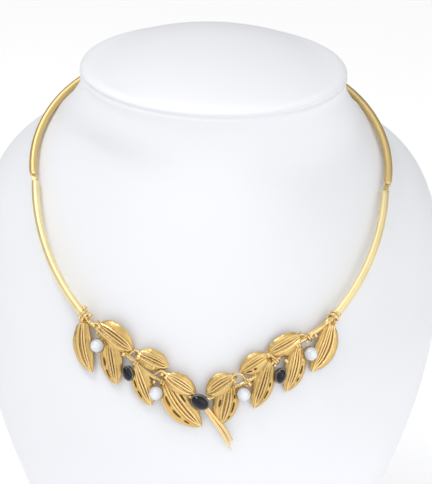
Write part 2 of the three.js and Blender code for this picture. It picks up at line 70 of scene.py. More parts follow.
# Places on the collar are in its own plane, in millimetres: x across and y up the slope.
HINGE_X = 64
HINGE_Y = 8
HINGE = Vector((HINGE_X, HINGE_Y, 0))
COLLAR_LIFT = 0.9  # how far the collar's plane stands off its centre, along its normal
TUBE_RADIUS = 1.45
COLLAR_HEIGHT = 150  # the collar's centre above the base
SHARP_EDGE = math.radians(40)  # edges that turn more than this are rounded
SHARP_SHADE = math.radians(35)  # and those that turn more than this are shaded as edges


def collar_plane():
    """Where the collar's plane lies, from the right hinge's pin."""
    hinge = next(joint for joint in frame["joints"] if joint["name"] == "right_arm_hinge")
    normal = -Vector(hinge["axis"]).normalized()
    upslope = normal.cross(ACROSS)
    origin = Vector(hinge["pos_m"]) - (ACROSS * HINGE_X + upslope * HINGE_Y) * MM
    plane = Matrix((ACROSS, upslope, normal)).transposed().to_4x4()
    plane.translation = origin
    return plane


COLLAR = collar_plane()
COLLAR_CENTRE = COLLAR.translation - COLLAR.col[2].xyz * COLLAR_LIFT * MM

BUST_NODE = frame["nodes"]["neck_bust"].data
CHEST = BVHTree.FromPolygons(
    [vertex.co for vertex in BUST_NODE.vertices],
    [polygon.vertices for polygon in BUST_NODE.polygons],
)


def on_chest(x, drop, lift):
    """A place in front of the chest and the way out from it, from millimetres across and down."""

    def surface(across, up):
        start = Vector(((x + across) * MM, -1, (COLLAR_HEIGHT - drop + up) * MM))
        place = CHEST.ray_cast(start, BACK)[0]
        if place is None:
            raise RuntimeError(f"the chest isn't behind {x}, {drop}")
        return place

    reach = 3  # how far to each side the chest's slope is taken
    along = surface(reach, 0) - surface(-reach, 0)
    upward = surface(0, reach) - surface(0, -reach)
    outward = along.cross(upward).normalized()
    return surface(0, 0) + BACK * lift * MM / outward.y, outward


Arc = namedtuple("Arc", "x y radius start end steps")


def arc_from(x, y, radius, start, end, direction, steps):
    """An arc that leaves a point heading up the slope (direction 1) or down it (-1). Angles in degrees."""
    start, end = math.radians(start), math.radians(end)
    centre_x = x - radius * math.cos(start)
    centre_y = y - direction * radius * math.sin(start)
    return Arc(centre_x, centre_y, radius, direction * start, direction * end, steps)


def arc_point(arc, angle):
    return Vector((arc.x + arc.radius * math.cos(angle), arc.y + arc.radius * math.sin(angle), 0))


CLASP_LENGTH = 9
GAP = 0.3  # between the clasp and the arms' ends
ARM_CORNER = arc_from(HINGE_X, HINGE_Y, 43.5, -8, 50, 1, 28)
CORNER_END = arc_point(ARM_CORNER, ARM_CORNER.end)
NAPE_RADIUS = CORNER_END.x / math.cos(ARM_CORNER.end)
NAPE_Y = CORNER_END.y - NAPE_RADIUS * math.sin(ARM_CORNER.end)
NAPE_END = math.acos((CLASP_LENGTH / 2 + GAP + TUBE_RADIUS * CLASP_LENGTH / 2 / NAPE_RADIUS) / NAPE_RADIUS)
ARM_NAPE = Arc(0, NAPE_Y, NAPE_RADIUS, ARM_CORNER.end, NAPE_END, 30)
FRONT_START = -math.radians(2.8)  # where a front tube begins below its hinge
FRONT_ARCS = {
    side: arc_from(63.1, 6.2, 87, 2, end, -1, 40)._replace(start=FRONT_START)
    for side, end in ((-1, 40.4), (1, 38.4))
}

# ------------------------------------------------------------------ the spray's layout

# x across, drop below the collar's centre and lift off the chest, in millimetres. "left" and "right"
# are the widths of the lobes on either side of the midrib, and "bow" is how far the midrib bows to
# its left, all as the leaf points from its base to its tip. Ridges lie across the lobes in shares
# of their widths, those on the left below zero.
Leaf = namedtuple("Leaf", "name x drop tip_x tip_drop left right bow lift tip_lift ridges")
LEAVES = [
    Leaf("left_hanging", -42.9, 32.6, -39.6, 49.9, 3.6, 4.8, -1.5, 2.2, 1.3, (-0.2, 0.09, 0.36)),
    Leaf("left_upper_1", -37.7, 32.5, -25.2, 39.2, 4.6, 5, 0.5, 2.9, 1.7, (-0.3, -0.04, 0.2, 0.45)),
    Leaf("left_lower_1", -34.2, 36.1, -30.8, 52, 4.3, 4.7, 0, 1.8, 1.2, (-0.34, -0.03, 0.19)),
    Leaf("left_upper_2", -23.3, 38.9, -12.5, 42.8, 3, 4.8, 0.8, 2.9, 1.7, (-0.34, -0.04, 0.2, 0.45)),
    Leaf("left_lower_2", -24.3, 43.3, -18.3, 57, 4, 3.7, -0.4, 1.8, 1.2, (-0.36, -0.04, 0.21)),
    Leaf("left_upper_3", -13.4, 44.8, -3.1, 51.3, 3.3, 4.3, 0.5, 2.9, 1.7, (-0.34, -0.04, 0.2, 0.47)),
    Leaf("left_lower_3", -13.9, 46.4, -0.7, 62.9, 4.6, 5.4, -1.5, 1.8, 1.2, (-0.38, -0.05, 0.19)),
    Leaf("right_lower_3", 8.7, 47.3, 6.1, 62, 3.9, 5.4, 0.6, 1.8, 1.2, (-0.22, 0.04, 0.32)),
    Leaf("right_upper_3", 9.6, 44.5, 0.5, 51.2, 4.6, 3.4, -0.8, 2.9, 1.7, (-0.2, 0.04, 0.34, -0.46)),
    Leaf("right_lower_2", 21.9, 40.8, 17.3, 56.8, 4.1, 4, 0.5, 1.8, 1.2, (-0.21, 0.04, 0.36)),
    Leaf("right_upper_2", 21.1, 38.1, 11.8, 43.8, 4.8, 3, -0.6, 2.9, 1.7, (-0.19, 0.04, 0.34)),
    Leaf("right_lower_1", 32, 36.6, 28.4, 52.3, 4.3, 4.1, 0.9, 1.8, 1.2, (-0.21, 0.04, 0.36)),
    Leaf("right_upper_1", 32.4, 33.2, 21, 38.4, 5, 3.2, -0.3, 2.9, 1.7, (-0.2, 0.04, 0.34, -0.45)),
    Leaf("right_hanging", 43.7, 31.7, 37.1, 46.9, 5.1, 4.5, 1.5, 2.2, 1.3, (-0.34, -0.1, 0.16, 0.5)),
]
# A vein of wire that starts beside the branch, arches over an upper leaf's base and runs to its tip:
# the places of its start and of its crest.
Vein = namedtuple("Vein", "x drop crest_x crest_drop")
VEINS = {
    "left_upper_1": Vein(-38.6, 35.4, -38.9, 32),
    "left_upper_2": Vein(-27.2, 41.3, -24.4, 38),
    "left_upper_3": Vein(-18.2, 46.4, -15.2, 43.4),
    "right_upper_3": Vein(15.8, 47.7, 11.9, 43.5),
    "right_upper_2": Vein(25.7, 41.6, 21.6, 37.6),
    "right_upper_1": Vein(37, 36.4, 32.9, 32.7),
}
# Sunk slits in the lobes: side (-1 left, 1 right), first and last row of the blade.
SLITS = {
    "left_lower_1": [(1, 5, 6), (1, 8, 9)],
    "left_lower_2": [(1, 4, 5), (1, 7, 8)],
    "left_lower_3": [(1, 3, 4), (1, 6, 7), (1, 9, 9), (-1, 4, 5)],
    "right_lower_3": [(1, 5, 6), (-1, 3, 3), (-1, 5, 7), (-1, 9, 9)],
    "right_lower_2": [(-1, 5, 5), (-1, 7, 8)],
    "right_lower_1": [(-1, 5, 6), (-1, 8, 8)],
    "right_upper_2": [(-1, 6, 6), (-1, 8, 9)],
}

LEFT_BRANCH = [(-41.1, 32.8, 2.4), (-38.4, 34.4, 2.1), (-31.5, 38.4, 1.5), (-25, 42.4, 1.6),
               (-18, 46.7, 1.6), (-9, 50.4, 1.3), (-1.4, 54.8, 1.5), (3, 60, 1.7), (6.3, 64.6, 1.6),
               (8.3, 68.3, 1.5), (9.9, 72.1, 1.3)]
LEFT_TAPER = [0.72, 0.72, 0.9, 1.05, 1.1, 1.1, 1.05, 0.95, 0.9, 0.85, 0.9, 0.85, 0.12]
RIGHT_BRANCH = [(42.7, 30.9, 2.6), (39.3, 32.7, 2.5), (35.1, 34.9, 2.2), (28.3, 38.5, 1.5), (18, 45.4, 1.5),
                (11.3, 48.9, 1.5), (0.9, 53.2, 1.5)]
RIGHT_TAPER = [1.25, 1.25, 1.3, 1.3, 1.2, 1.05, 1, 0.95, 0.8]
TWIG = [(-0.8, 53.4, 1.9), (2.1, 57, 2.1), (4.6, 60.1, 2), (7.2, 63.3, 1.9), (9.8, 67.7, 1.8)]
TWIG_TAPER = [0.75, 0.75, 0.8, 0.85, 0.75]

Granule = namedtuple("Granule", "x drop lift radius")
GRANULES = [
    Granule(-43, 28, 4.3, 0.85),
    Granule(-40.9, 30.2, 3.6, 0.75),
    Granule(-37.3, 32.6, 4.4, 0.8),
    Granule(-28.4, 40.2, 3.4, 0.8),
    Granule(-23.4, 40.5, 3.4, 0.8),
    Granule(-17.8, 43, 3.2, 0.8),
    Granule(-14.8, 44.7, 3.4, 0.75),
    Granule(-17.5, 48, 3, 0.65),
    Granule(38.2, 34.2, 3.6, 0.7),
    Granule(32.2, 35.3, 3.6, 0.75),
    Granule(33.8, 41.6, 3, 0.65),
    Granule(28.1, 41, 3.2, 0.85),
    Granule(21.8, 38.2, 4, 0.7),
    Granule(15.5, 47.3, 3.6, 0.8),
    Granule(10.4, 46.2, 3.4, 0.7),
]

# Wire bound round a branch: which branch, where it is across the chest, and its turns.
Binding = namedtuple("Binding", "side x turns")
BINDINGS = [
    Binding(-1, -37.2, 1),
    Binding(-1, -24.2, 2),
    Binding(-1, -15, 2),
    Binding(1, 35.9, 2),
    Binding(1, 32, 2),
    Binding(1, 24.6, 2),
    Binding(1, 15, 2),
]

PEARL_NODES = ["pearl_left_outer", "pearl_left_inner", "pearl_right_inner", "pearl_right_outer"]
Stone = namedtuple("Stone", "node long short dome turn")
STONES = [
    Stone("cabochon_left", 2.4, 1.7, 1.3, -27),
    Stone("cabochon_centre", 3.1, 2.25, 1.7, 118),
    Stone("cabochon_right", 2.4, 1.7, 1.3, 22),
]

# ------------------------------------------------------------------ sizes and colours that can be changed


def length_property(name, description, millimetres):
    return FloatProperty(
        name=name, description=description, default=millimetres * MM, unit="LENGTH", precision=5)


def angle_property(name, description, degrees):
    return FloatProperty(name=name, description=description, default=math.radians(degrees), subtype="ANGLE")


def colour_property(name, description, default):
    return FloatVectorProperty(
        name=name, description=description, default=default, subtype="COLOR", min=0, max=1)


class CollarSizes(bpy.types.PropertyGroup):
    """Sizes of the tubes and what joins them"""

    tube_sides: IntProperty(name="Tube sides", description="Faces round a tube", default=32, min=8)
    pin_head: length_property("Pin head", "Radius of a hinge pin's domed head", 0.62)
    edge: length_property("Edge", "Width of the softened edges of cut metal", 0.08)


class SpraySizes(bpy.types.PropertyGroup):
    """Sizes of the leaves, wires and settings"""

    blade: length_property("Blade", "Thickness of a leaf's sheet", 0.5)
    relief: length_property("Relief", "Height of a leaf's ridges over its rim", 1.3)
    vein: length_property("Vein", "Radius of the ridges along a leaf", 0.42)
    binding: length_property("Binding", "Radius of the binding wire", 0.4)
    branch: length_property("Branch", "Radius of a branch", 0.75)
    bezel: length_property("Bezel", "Thickness of a bezel's wall", 0.25)


class Colours(bpy.types.PropertyGroup):
    """Colours of the finishes"""

    tube: colour_property("Tubes", "Pale gold of the collar", (0.92, 0.78, 0.44))
    arm: colour_property("Arms", "Slightly deeper gold of the hinged arms", (0.74, 0.56, 0.25))
    leaf: colour_property("Leaves", "Deeper gold of the spray", (0.84, 0.6, 0.25))
    # painted highlight: the ridges' and wires' gold is paler and brighter than the leaves' to stand for the
    # light that they catch
    wire: colour_property("Wires", "Brighter gold of ridges, wires and granules", (0.94, 0.71, 0.34))
    # painted shade: the band between a leaf's ridges is darkened to stand for the shade there
    groove: colour_property("Grooves", "Darker gold between a leaf's ridges", (0.68, 0.42, 0.12))
    # painted shade: the slits and the tongues' feet are darkened to stand for the shade in them
    recess: colour_property("Slits", "Darkened gold in the slits", (0.42, 0.245, 0.08))
    bezel: colour_property("Bezels", "Darkened metal round the stones", (0.3, 0.29, 0.28))
    # the greyer end of the pearls' painted shade; their painted highlight is a fixed paler grey
    pearl: colour_property("Pearls", "Body colour of the pearls", (0.55, 0.58, 0.62))
    stone: colour_property("Stones", "Near-black blue of the cabochons", (0.002, 0.003, 0.006))
    bust: colour_property("Bust", "White of the bust's leatherette", (0.86, 0.873, 0.907))
    floor: colour_property("Floor", "Plain pale floor", (0.95, 0.95, 0.96))


class StageSettings(bpy.types.PropertyGroup):
    """Camera and lights"""

    elevation: angle_property("Elevation", "Angle that the camera looks down by", 22)
    roll: angle_property("Roll", "Turn of the view about its own line", 1.6)
    distance: FloatProperty(
        name="Distance", description="Camera's distance from the collar's centre", default=0.7,
        unit="LENGTH")
    overhead: FloatProperty(
        name="Overhead", description="Power of the overhead softbox", default=1.7, unit="POWER")
    lights: FloatProperty(name="Lights", description="Brightness of the room's broad lights", default=1)
    room: FloatProperty(name="Room", description="Brightness of the room between its lights", default=0.2)


# The room's broad lights: the way to each, how tight it is and how strong.
ROOM_LIGHTS = [
    ((-0.7, -0.7, 0.4), 4, 0.65),
    ((0.7, -0.7, 0.4), 4, 1.5),
    ((0, -0.2, 1), 6, 0.4),
]


def sizes(group):
    """One of the groups of sizes and colours, by its short name."""
    return getattr(bpy.context.scene, f"necklace_{group}")


# ------------------------------------------------------------------ modelling helpers


def deselect_all():
    if bpy.context.mode != "OBJECT":
        bpy.ops.object.mode_set(mode="OBJECT")
    bpy.ops.object.select_all(action="DESELECT")


def activate(piece):
    deselect_all()
    piece.select_set(True)
    bpy.context.view_layer.objects.active = piece


def open_piece(name, mode="VERT"):
    """Names the primitive just added and opens it for editing, all of it selected."""
    piece = bpy.context.object
    piece.name = piece.data.name = name
    bpy.ops.object.mode_set(mode="EDIT")
    bpy.ops.mesh.select_mode(type=mode)
    bpy.ops.mesh.select_all(action="SELECT")
    return piece


def pick(piece, test, kind="VERT"):
    """Selects only the vertices, edges or faces that pass the test, which sees each one's place."""
    bpy.ops.mesh.select_mode(type=kind)
    bpy.ops.mesh.select_all(action="DESELECT")
    shape = bmesh.from_edit_mesh(piece.data)
    if kind == "VERT":
        parts = [(vertex, vertex.co) for vertex in shape.verts]
    elif kind == "EDGE":
        parts = [(edge, (edge.verts[0].co + edge.verts[1].co) / 2) for edge in shape.edges]
    else:
        parts = [(face, face.calc_center_median()) for face in shape.faces]
    for part, place in parts:
        if test(part, place):
            part.select_set(True)
    bmesh.update_edit_mesh(piece.data)


def close_piece(piece):
    """Merges doubles, turns the faces out and leaves edit mode."""
    bpy.ops.mesh.select_mode(type="VERT")
    bpy.ops.mesh.select_all(action="SELECT")
    bpy.ops.mesh.remove_doubles(threshold=MM / 1000)
    bpy.ops.mesh.normals_make_consistent(inside=False)
    bpy.ops.object.mode_set(mode="OBJECT")
    return piece


def apply_place(piece):
    activate(piece)
    bpy.ops.object.transform_apply(location=True, rotation=True, scale=True)
    return piece


def put(piece, place):
    """Moves a finished shape by a matrix, and keeps its place in its mesh."""
    apply_place(piece)
    piece.matrix_world = place
    return apply_place(piece)


def modify(piece, kind, **settings):
    """Adds a modifier with its settings and applies it."""
    activate(piece)
    modifier = piece.modifiers.new(kind.title(), kind)
    for name, value in settings.items():
        setattr(modifier, name, value)
    bpy.ops.object.modifier_apply(modifier=modifier.name)
    return piece


def subdivide(piece, levels):
    return modify(piece, "SUBSURF", levels=levels, render_levels=levels)


def soften(piece, width):
    """Rounds the sharp edges."""
    return modify(piece, "BEVEL", width=width, segments=2, limit_method="ANGLE", angle_limit=SHARP_EDGE)


def cut(piece, tool):
    """Cuts a tool's shape out of a piece, and removes the tool."""
    modify(piece, "BOOLEAN", operation="DIFFERENCE", object=tool, solver="EXACT")
    bpy.data.objects.remove(tool)
    return piece


def copy_of(piece, name):
    """A copy with its own mesh."""
    twin = piece.copy()
    twin.data = piece.data.copy()
    twin.name = twin.data.name = name
    bpy.context.collection.objects.link(twin)
    return twin


def mirror(piece):
    """Moves a piece to the other side of the middle."""
    piece.scale.x = -1
    apply_place(piece)
    bpy.ops.object.mode_set(mode="EDIT")
    return close_piece(piece)


def join(pieces, name):
    activate(pieces[0])
    for piece in pieces:
        piece.select_set(True)
    bpy.ops.object.join()
    pieces[0].name = pieces[0].data.name = name
    return pieces[0]


def block(middle, size, turn):
    """A box at a place in the collar's plane, in millimetres."""
    deselect_all()
    bpy.ops.mesh.primitive_cube_add(
        size=1, location=middle * MM, rotation=(0, 0, turn), scale=[side * MM for side in size])
    return apply_place(bpy.context.object)


def round_profile(radius, degrees):
    """Points of a lathe's profile round the bottom of a ball, by their angles from its lowest."""
    return [(radius * math.sin(angle), -radius * math.cos(angle)) for angle in map(math.radians, degrees)]


def lathe(name, profile, steps=32):
    """A piece of revolution about Z, from a profile of (radius, height) in millimetres."""
    places = [Vector((radius * MM, 0, height * MM)) for radius, height in profile]
    deselect_all()
    bpy.ops.mesh.primitive_plane_add(size=MM, location=places[0])
    apply_place(bpy.context.object)
    piece = open_piece(name)
    bpy.ops.mesh.merge(type="CENTER")
    for near, far in zip(places, places[1:]):
        bpy.ops.mesh.extrude_vertices_move(TRANSFORM_OT_translate={"value": far - near})
    bpy.ops.mesh.select_all(action="SELECT")
    bpy.ops.mesh.spin(steps=steps, angle=2 * math.pi, center=(0, 0, 0), axis=UP)
    return close_piece(piece)


def wire(name, knots, radius, sides):
    """A round wire through its knots, each a place and a share of the radius, closed at both ends."""
    deselect_all()
    bpy.ops.curve.primitive_bezier_curve_add()
    curve = bpy.context.object
    curve.name = curve.data.name = name
    spline = curve.data.splines[0]
    spline.bezier_points.add(len(knots) - 2)
    for knot, (place, share) in zip(spline.bezier_points, knots):
        knot.handle_left_type = knot.handle_right_type = "AUTO"
        knot.co = place
        knot.radius = share
    curve.data.bevel_depth = radius
    curve.data.bevel_resolution = sides
    curve.data.resolution_u = 8
    curve.data.use_fill_caps = True
    bpy.ops.object.convert(target="MESH")
    open_piece(name)
    return close_piece(bpy.context.object)


def frame_at(place, outward, along):
    """A matrix whose Z is outward and whose Y is as near as it can be to "along"."""
    along = (along - outward * along.dot(outward)).normalized()
    turned = Matrix((along.cross(outward), along, outward)).transposed().to_4x4()
    turned.translation = place
    return turned


def hand_over(piece, body, slot, finish, *nodes):
    """Gives a finished piece its shading, finish and body, and hides the nodes that it stands for."""
    activate(piece)
    bpy.ops.object.shade_smooth_by_angle(angle=SHARP_SHADE)
    if not piece.data.materials:
        piece.data.materials.append(finish_named(finish))
    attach(piece, body)
    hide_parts(*nodes)


def hand_over_arms(right, name, finish):
    """Names a piece of the right arm, mirrors it for the left one, and hands over both."""
    right.name = right.data.name = f"{name}_right_gold"
    left = mirror(copy_of(right, f"{name}_left_gold"))
    for piece, side in ((right, "right"), (left, "left")):
        hand_over(piece, f"{side}_arm", "tube_gold", finish, f"{name}_{side}")


def solder(piece, finish="wire_gold"):
    """Hands over a piece of the spray."""
    hand_over(piece, "root", "spray_gold", finish, "leaf_spray")


# ------------------------------------------------------------------ finishes


class Value:
    """A socket in a node tree, so that shader maths reads as Python."""

    def __init__(self, nodes, socket):
        self.nodes = nodes
        self.socket = socket

    def maths(self, operation, *values):
        return self.nodes.node("ShaderNodeMath", {"operation": operation}, values)

    def __add__(self, other):
        return self.maths("ADD", self, other)

    def __mul__(self, other):
        return self.maths("MULTIPLY", self, other)

    def __pow__(self, other):
        return self.maths("POWER", self, other)

    __radd__ = __add__
    __rmul__ = __mul__


class Nodes:
    """A node tree that is built by code."""

    def __init__(self, tree):
        self.tree = tree

    def node(self, kind, settings=None, inputs=(), output=0):
        """A node of a kind, with its settings set first and then its sockets, by order or by name."""
        made = self.tree.nodes.new(kind)
        for name, value in (settings or {}).items():
            if name == "stops":
                self.set_stops(made.color_ramp, value)
            else:
                setattr(made, name, value)
        given = inputs.items() if isinstance(inputs, dict) else enumerate(inputs)
        for key, value in given:
            self.feed(made.inputs[key], value)
        return Value(self, made.outputs[output])

    @staticmethod
    def set_stops(ramp, stops):
        while len(ramp.elements) < len(stops):
            ramp.elements.new(0.5)
        for element, (place, shade) in zip(ramp.elements, stops):
            element.position = place
            element.color = shade if isinstance(shade, tuple) else (shade, shade, shade, 1)

    def feed(self, socket, value):
        if isinstance(value, Value):
            self.tree.links.new(value.socket, socket)
        else:
            socket.default_value = value


class Finish(Nodes):
    """A material around one Principled shader."""

    def __init__(self, name):
        material = bpy.data.materials.new(name)
        material.use_nodes = True
        super().__init__(material.node_tree)
        self.shader = self.tree.nodes["Principled BSDF"]
        self.place = self.node("ShaderNodeTexCoord", output="Object")

    def wear(self, **sockets):
        """Feeds the shader's own sockets."""
        for name, value in sockets.items():
            self.feed(self.shader.inputs[name.replace("_", " ")], value)

    def surface(self):
        return self.node("ShaderNodeUVMap", {"uv_map": "UVMap"})

    def noise(self, scale, detail=3.0, roughness=0.5, distortion=0.0, vector=None):
        """Noise over the piece's own place, or over another vector."""
        return self.node("ShaderNodeTexNoise", inputs={
            "Vector": vector or self.place, "Scale": scale, "Detail": detail, "Roughness": roughness,
            "Distortion": distortion})

    def stretched(self, vector, scale):
        return self.node("ShaderNodeMapping", inputs={"Vector": vector, "Scale": scale})

    def ramp(self, value, stops):
        return self.node("ShaderNodeValToRGB", {"stops": stops}, {"Fac": value})

    def mix(self, share, first, second):
        return self.node("ShaderNodeMix", {"data_type": "RGBA"}, {0: share, 6: first, 7: second}, output=2)

    def fade(self, mask, colour, share):
        """A colour that goes down to a share of itself where the mask is low."""
        return self.mix(mask, opaque(colour, share), opaque(colour))

    def bump(self, height, strength, distance):
        return self.node("ShaderNodeBump", inputs={
            "Height": height, "Strength": strength, "Distance": distance})


def opaque(colour, share=1.0):
    """A colour with full alpha, darkened by a share."""
    return (*(channel * share for channel in colour), 1.0)


def plated(finish, colour):
    """Pale plated gold, polished and slightly satin."""
    clouds = finish.noise(180, 4)
    finish.wear(
        Metallic=1.0,
        Base_Color=finish.fade(finish.ramp(clouds, [(0.3, 0.0), (0.7, 1.0)]), colour, 0.9),
        Roughness=0.44 + clouds * 0.12,
        Normal=finish.bump(finish.noise(4200, 2), 0.12, 0.00002),
    )


def brushed(finish, colour):
    """Satin gold, brushed along each leaf, with painted shade darkening it where the grain is deep."""
    surface = finish.surface()
    lines = finish.noise(1, 3, 0.6, 0.4, finish.stretched(surface, (24, 1.6, 1)))
    fine = finish.noise(1, 2, vector=finish.stretched(surface, (110, 3, 1)))
    clouds = finish.noise(420)
    depth = finish.ramp(lines, [(0.36, 0.0), (0.62, 1.0)])
    finish.wear(
        Metallic=1.0,
        # painted shade: the grain's deep lines take a darker, more saturated gold
        Base_Color=finish.mix(depth, (0.58, 0.385, 0.13, 1), opaque(colour)),
        Roughness=0.26 + clouds * 0.16,
        Normal=finish.bump(lines * 0.8 + fine * 0.2 + clouds * 0.35, 0.7, 0.0003),
    )


def rubbed(finish, colour):
    """Gold of wires and granules, paler than the leaves' as a painted highlight, and brighter where hands
    polish it.
    """
    clouds = finish.noise(700)
    finish.wear(
        Metallic=1.0,
        Base_Color=finish.fade(clouds, colour, 0.8),
        Roughness=0.2 + clouds * 0.14,
        Normal=finish.bump(finish.noise(1600, 2), 0.3, 0.00005),
    )


def painted_shade_metal(finish, colour):
    """Darkened metal, painted shade in the leaves' grooves and slits and at the tongues' feet."""
    grit = finish.noise(2600)
    finish.wear(
        Metallic=0.7,
        Base_Color=finish.fade(grit, colour, 0.6),
        Roughness=0.45 + grit * 0.3,
        Normal=finish.bump(grit, 0.5, 0.00005),
    )


def blackened(finish, colour):
    """Darkened metal round the stones, polished."""
    clouds = finish.noise(900)
    finish.wear(
        Metallic=1.0,
        Base_Color=finish.mix(clouds, (0.1, 0.1, 0.11, 1), opaque(colour)),
        Roughness=0.2 + clouds * 0.15,
        Normal=finish.bump(clouds, 0.15, 0.00004),
    )


def lustrous(finish, colour):
    """White pearl, with a painted highlight where it stands out and painted shade greying it towards its cup.
    """
    latitude = finish.node("ShaderNodeSeparateXYZ", None, {"Vector": finish.surface()}, output=1)
    clouds = finish.noise(420, 2)
    painted_light = finish.ramp(latitude + clouds * 0.12, [(0.62, 0.0), (0.82, 0.45), (0.98, 1.0)])
    finish.wear(
        Coat_Weight=0.7,
        Coat_Roughness=0.08,
        Base_Color=finish.mix(painted_light, opaque(colour), (0.83, 0.85, 0.87, 1)),
        Roughness=0.22 + clouds * 0.1,
        Normal=finish.bump(finish.noise(900, 2), 0.35, 0.00008),
    )


def glassy(finish, colour):
    """Polished near-black stone with a faint blue depth."""
    veins = finish.noise(500, 4, 0.6, 0.8)
    depth = finish.ramp(veins, [(0.45, 0.0), (0.75, 1.0)])
    finish.wear(
        IOR=1.45,
        Base_Color=finish.mix(depth, opaque(colour), (0.005, 0.009, 0.02, 1)),
        Roughness=0.05 + veins * 0.05,
        Normal=finish.bump(finish.noise(900, 2), 0.03, 0.00002),
    )


def pebbled(finish, colour):
    """Smooth white leatherette with a fine pebble."""
    clouds = finish.noise(14)
    pebble = finish.node("ShaderNodeTexVoronoi", {"feature": "SMOOTH_F1"},
                         {"Vector": finish.place, "Scale": 1500.0, "Smoothness": 0.6})
    finish.wear(
        Sheen_Weight=0.15,
        Sheen_Roughness=0.5,
        Base_Color=finish.fade(clouds, colour, 0.97),
        Roughness=0.5 + clouds * 0.12,
        Normal=finish.bump(pebble + finish.noise(500) * 0.5, 0.12, 0.00005),
    )


def glowing(finish, colour):
    """A plain pale surface that is a little brighter than its light makes it."""
    pale = opaque(colour)
    finish.wear(Roughness=0.9, Base_Color=pale, Emission_Color=pale, Emission_Strength=0.36)


# How each finish is made, and the colour that it starts from.
FINISHES = {
    "tube_gold": (plated, "tube"),
    "arm_gold": (plated, "arm"),
    "leaf_gold": (brushed, "leaf"),
    "wire_gold": (rubbed, "wire"),
    "groove_gold": (painted_shade_metal, "groove"),
    "slit_gold": (painted_shade_metal, "recess"),
    "bezel_metal": (blackened, "bezel"),
    "pearl_lustre": (lustrous, "pearl"),
    "dark_stone": (glassy, "stone"),
    "leatherette": (pebbled, "bust"),
    "pale_floor": (glowing, "floor"),
}


def finish_named(name):
    """A finish, made the first time that it is asked for."""
    material = f"{name}_finish"
    if material not in bpy.data.materials:
        make, colour_name = FINISHES[name]
        make(Finish(material), getattr(sizes("colours"), colour_name))
    return bpy.data.materials[material]


# ------------------------------------------------------------------ operators


class Build(bpy.types.Operator):
    """What all the operators share"""

    bl_idname = "necklace.build"
    bl_label = "Build"
    bl_options = {"REGISTER", "UNDO"}

    def execute(self, context):
        self.build()
        deselect_all()
        return {"FINISHED"}


class NECKLACE_OT_stage(Build):
    """Camera, softboxes, surroundings and floor"""

    bl_idname = "necklace.stage"
    bl_label = "Stage"

    floor_size = 6
    lens = 144.6
    pan = math.radians(0.211)  # how far the view's centre is to the side of the collar's
    tilt = math.radians(1.232)  # and below it
    overhead_size = (0.34, 0.17)
    overhead_offset = Vector((-0.27, -0.09, 0.58))

    def build(self):
        stage = sizes("stage")
        deselect_all()
        bpy.ops.mesh.primitive_plane_add(size=self.floor_size, location=(0, 0, 0))
        floor = close_piece(open_piece("floor"))
        floor.data.materials.append(finish_named("pale_floor"))
        self.camera(stage)
        self.softbox(stage)
        self.surroundings(stage)
        bpy.context.scene.view_settings.view_transform = "Standard"

    def camera(self, stage):
        """The camera looks past the collar's centre by a small pan and tilt."""
        forward = Vector((0, math.cos(stage.elevation), -math.sin(stage.elevation)))
        above = ACROSS.cross(forward)
        back = -(forward + ACROSS * math.tan(self.pan) - above * math.tan(self.tilt)).normalized()
        side = ACROSS * math.cos(stage.roll) + above * math.sin(stage.roll)
        side = (side - back * side.dot(back)).normalized()
        place = COLLAR_CENTRE - forward * stage.distance
        bpy.ops.object.camera_add(location=place)
        camera = bpy.context.object
        turned = Matrix((side, back.cross(side), back)).transposed().to_4x4()
        turned.translation = place
        camera.matrix_world = turned
        camera.data.lens = self.lens
        bpy.context.scene.camera = camera

    def softbox(self, stage):
        """The overhead softbox faces the collar's centre."""
        bpy.ops.object.light_add(type="AREA", location=COLLAR_CENTRE + self.overhead_offset)
        lamp = bpy.context.object
        lamp.name = "overhead"
        lamp.data.shape = "RECTANGLE"
        lamp.data.size, lamp.data.size_y = self.overhead_size
        lamp.data.energy = stage.overhead
        lamp.rotation_mode = "QUATERNION"
        lamp.rotation_quaternion = self.overhead_offset.to_track_quat("Z", "Y")

    @staticmethod
    def surroundings(stage):
        """A plain pale room that is brighter in front on both sides and overhead."""
        world = bpy.data.worlds.new("studio")
        world.use_nodes = True
        room = Nodes(world.node_tree)
        direction = room.node("ShaderNodeTexCoord", output="Generated")
        glow = stage.room  # a number until the first light makes it a socket
        for towards, sharpness, strength in ROOM_LIGHTS:
            facing = room.node("ShaderNodeVectorMath", {"operation": "DOT_PRODUCT"},
                               (direction, Vector(towards).normalized()), output="Value")
            glow = facing.maths("MAXIMUM", facing, 0.0) ** sharpness * (strength * stage.lights) + glow
        background = world.node_tree.nodes["Background"]
        room.feed(background.inputs["Color"], (1, 1, 1, 1))
        room.feed(background.inputs["Strength"], glow)
        bpy.context.scene.world = world


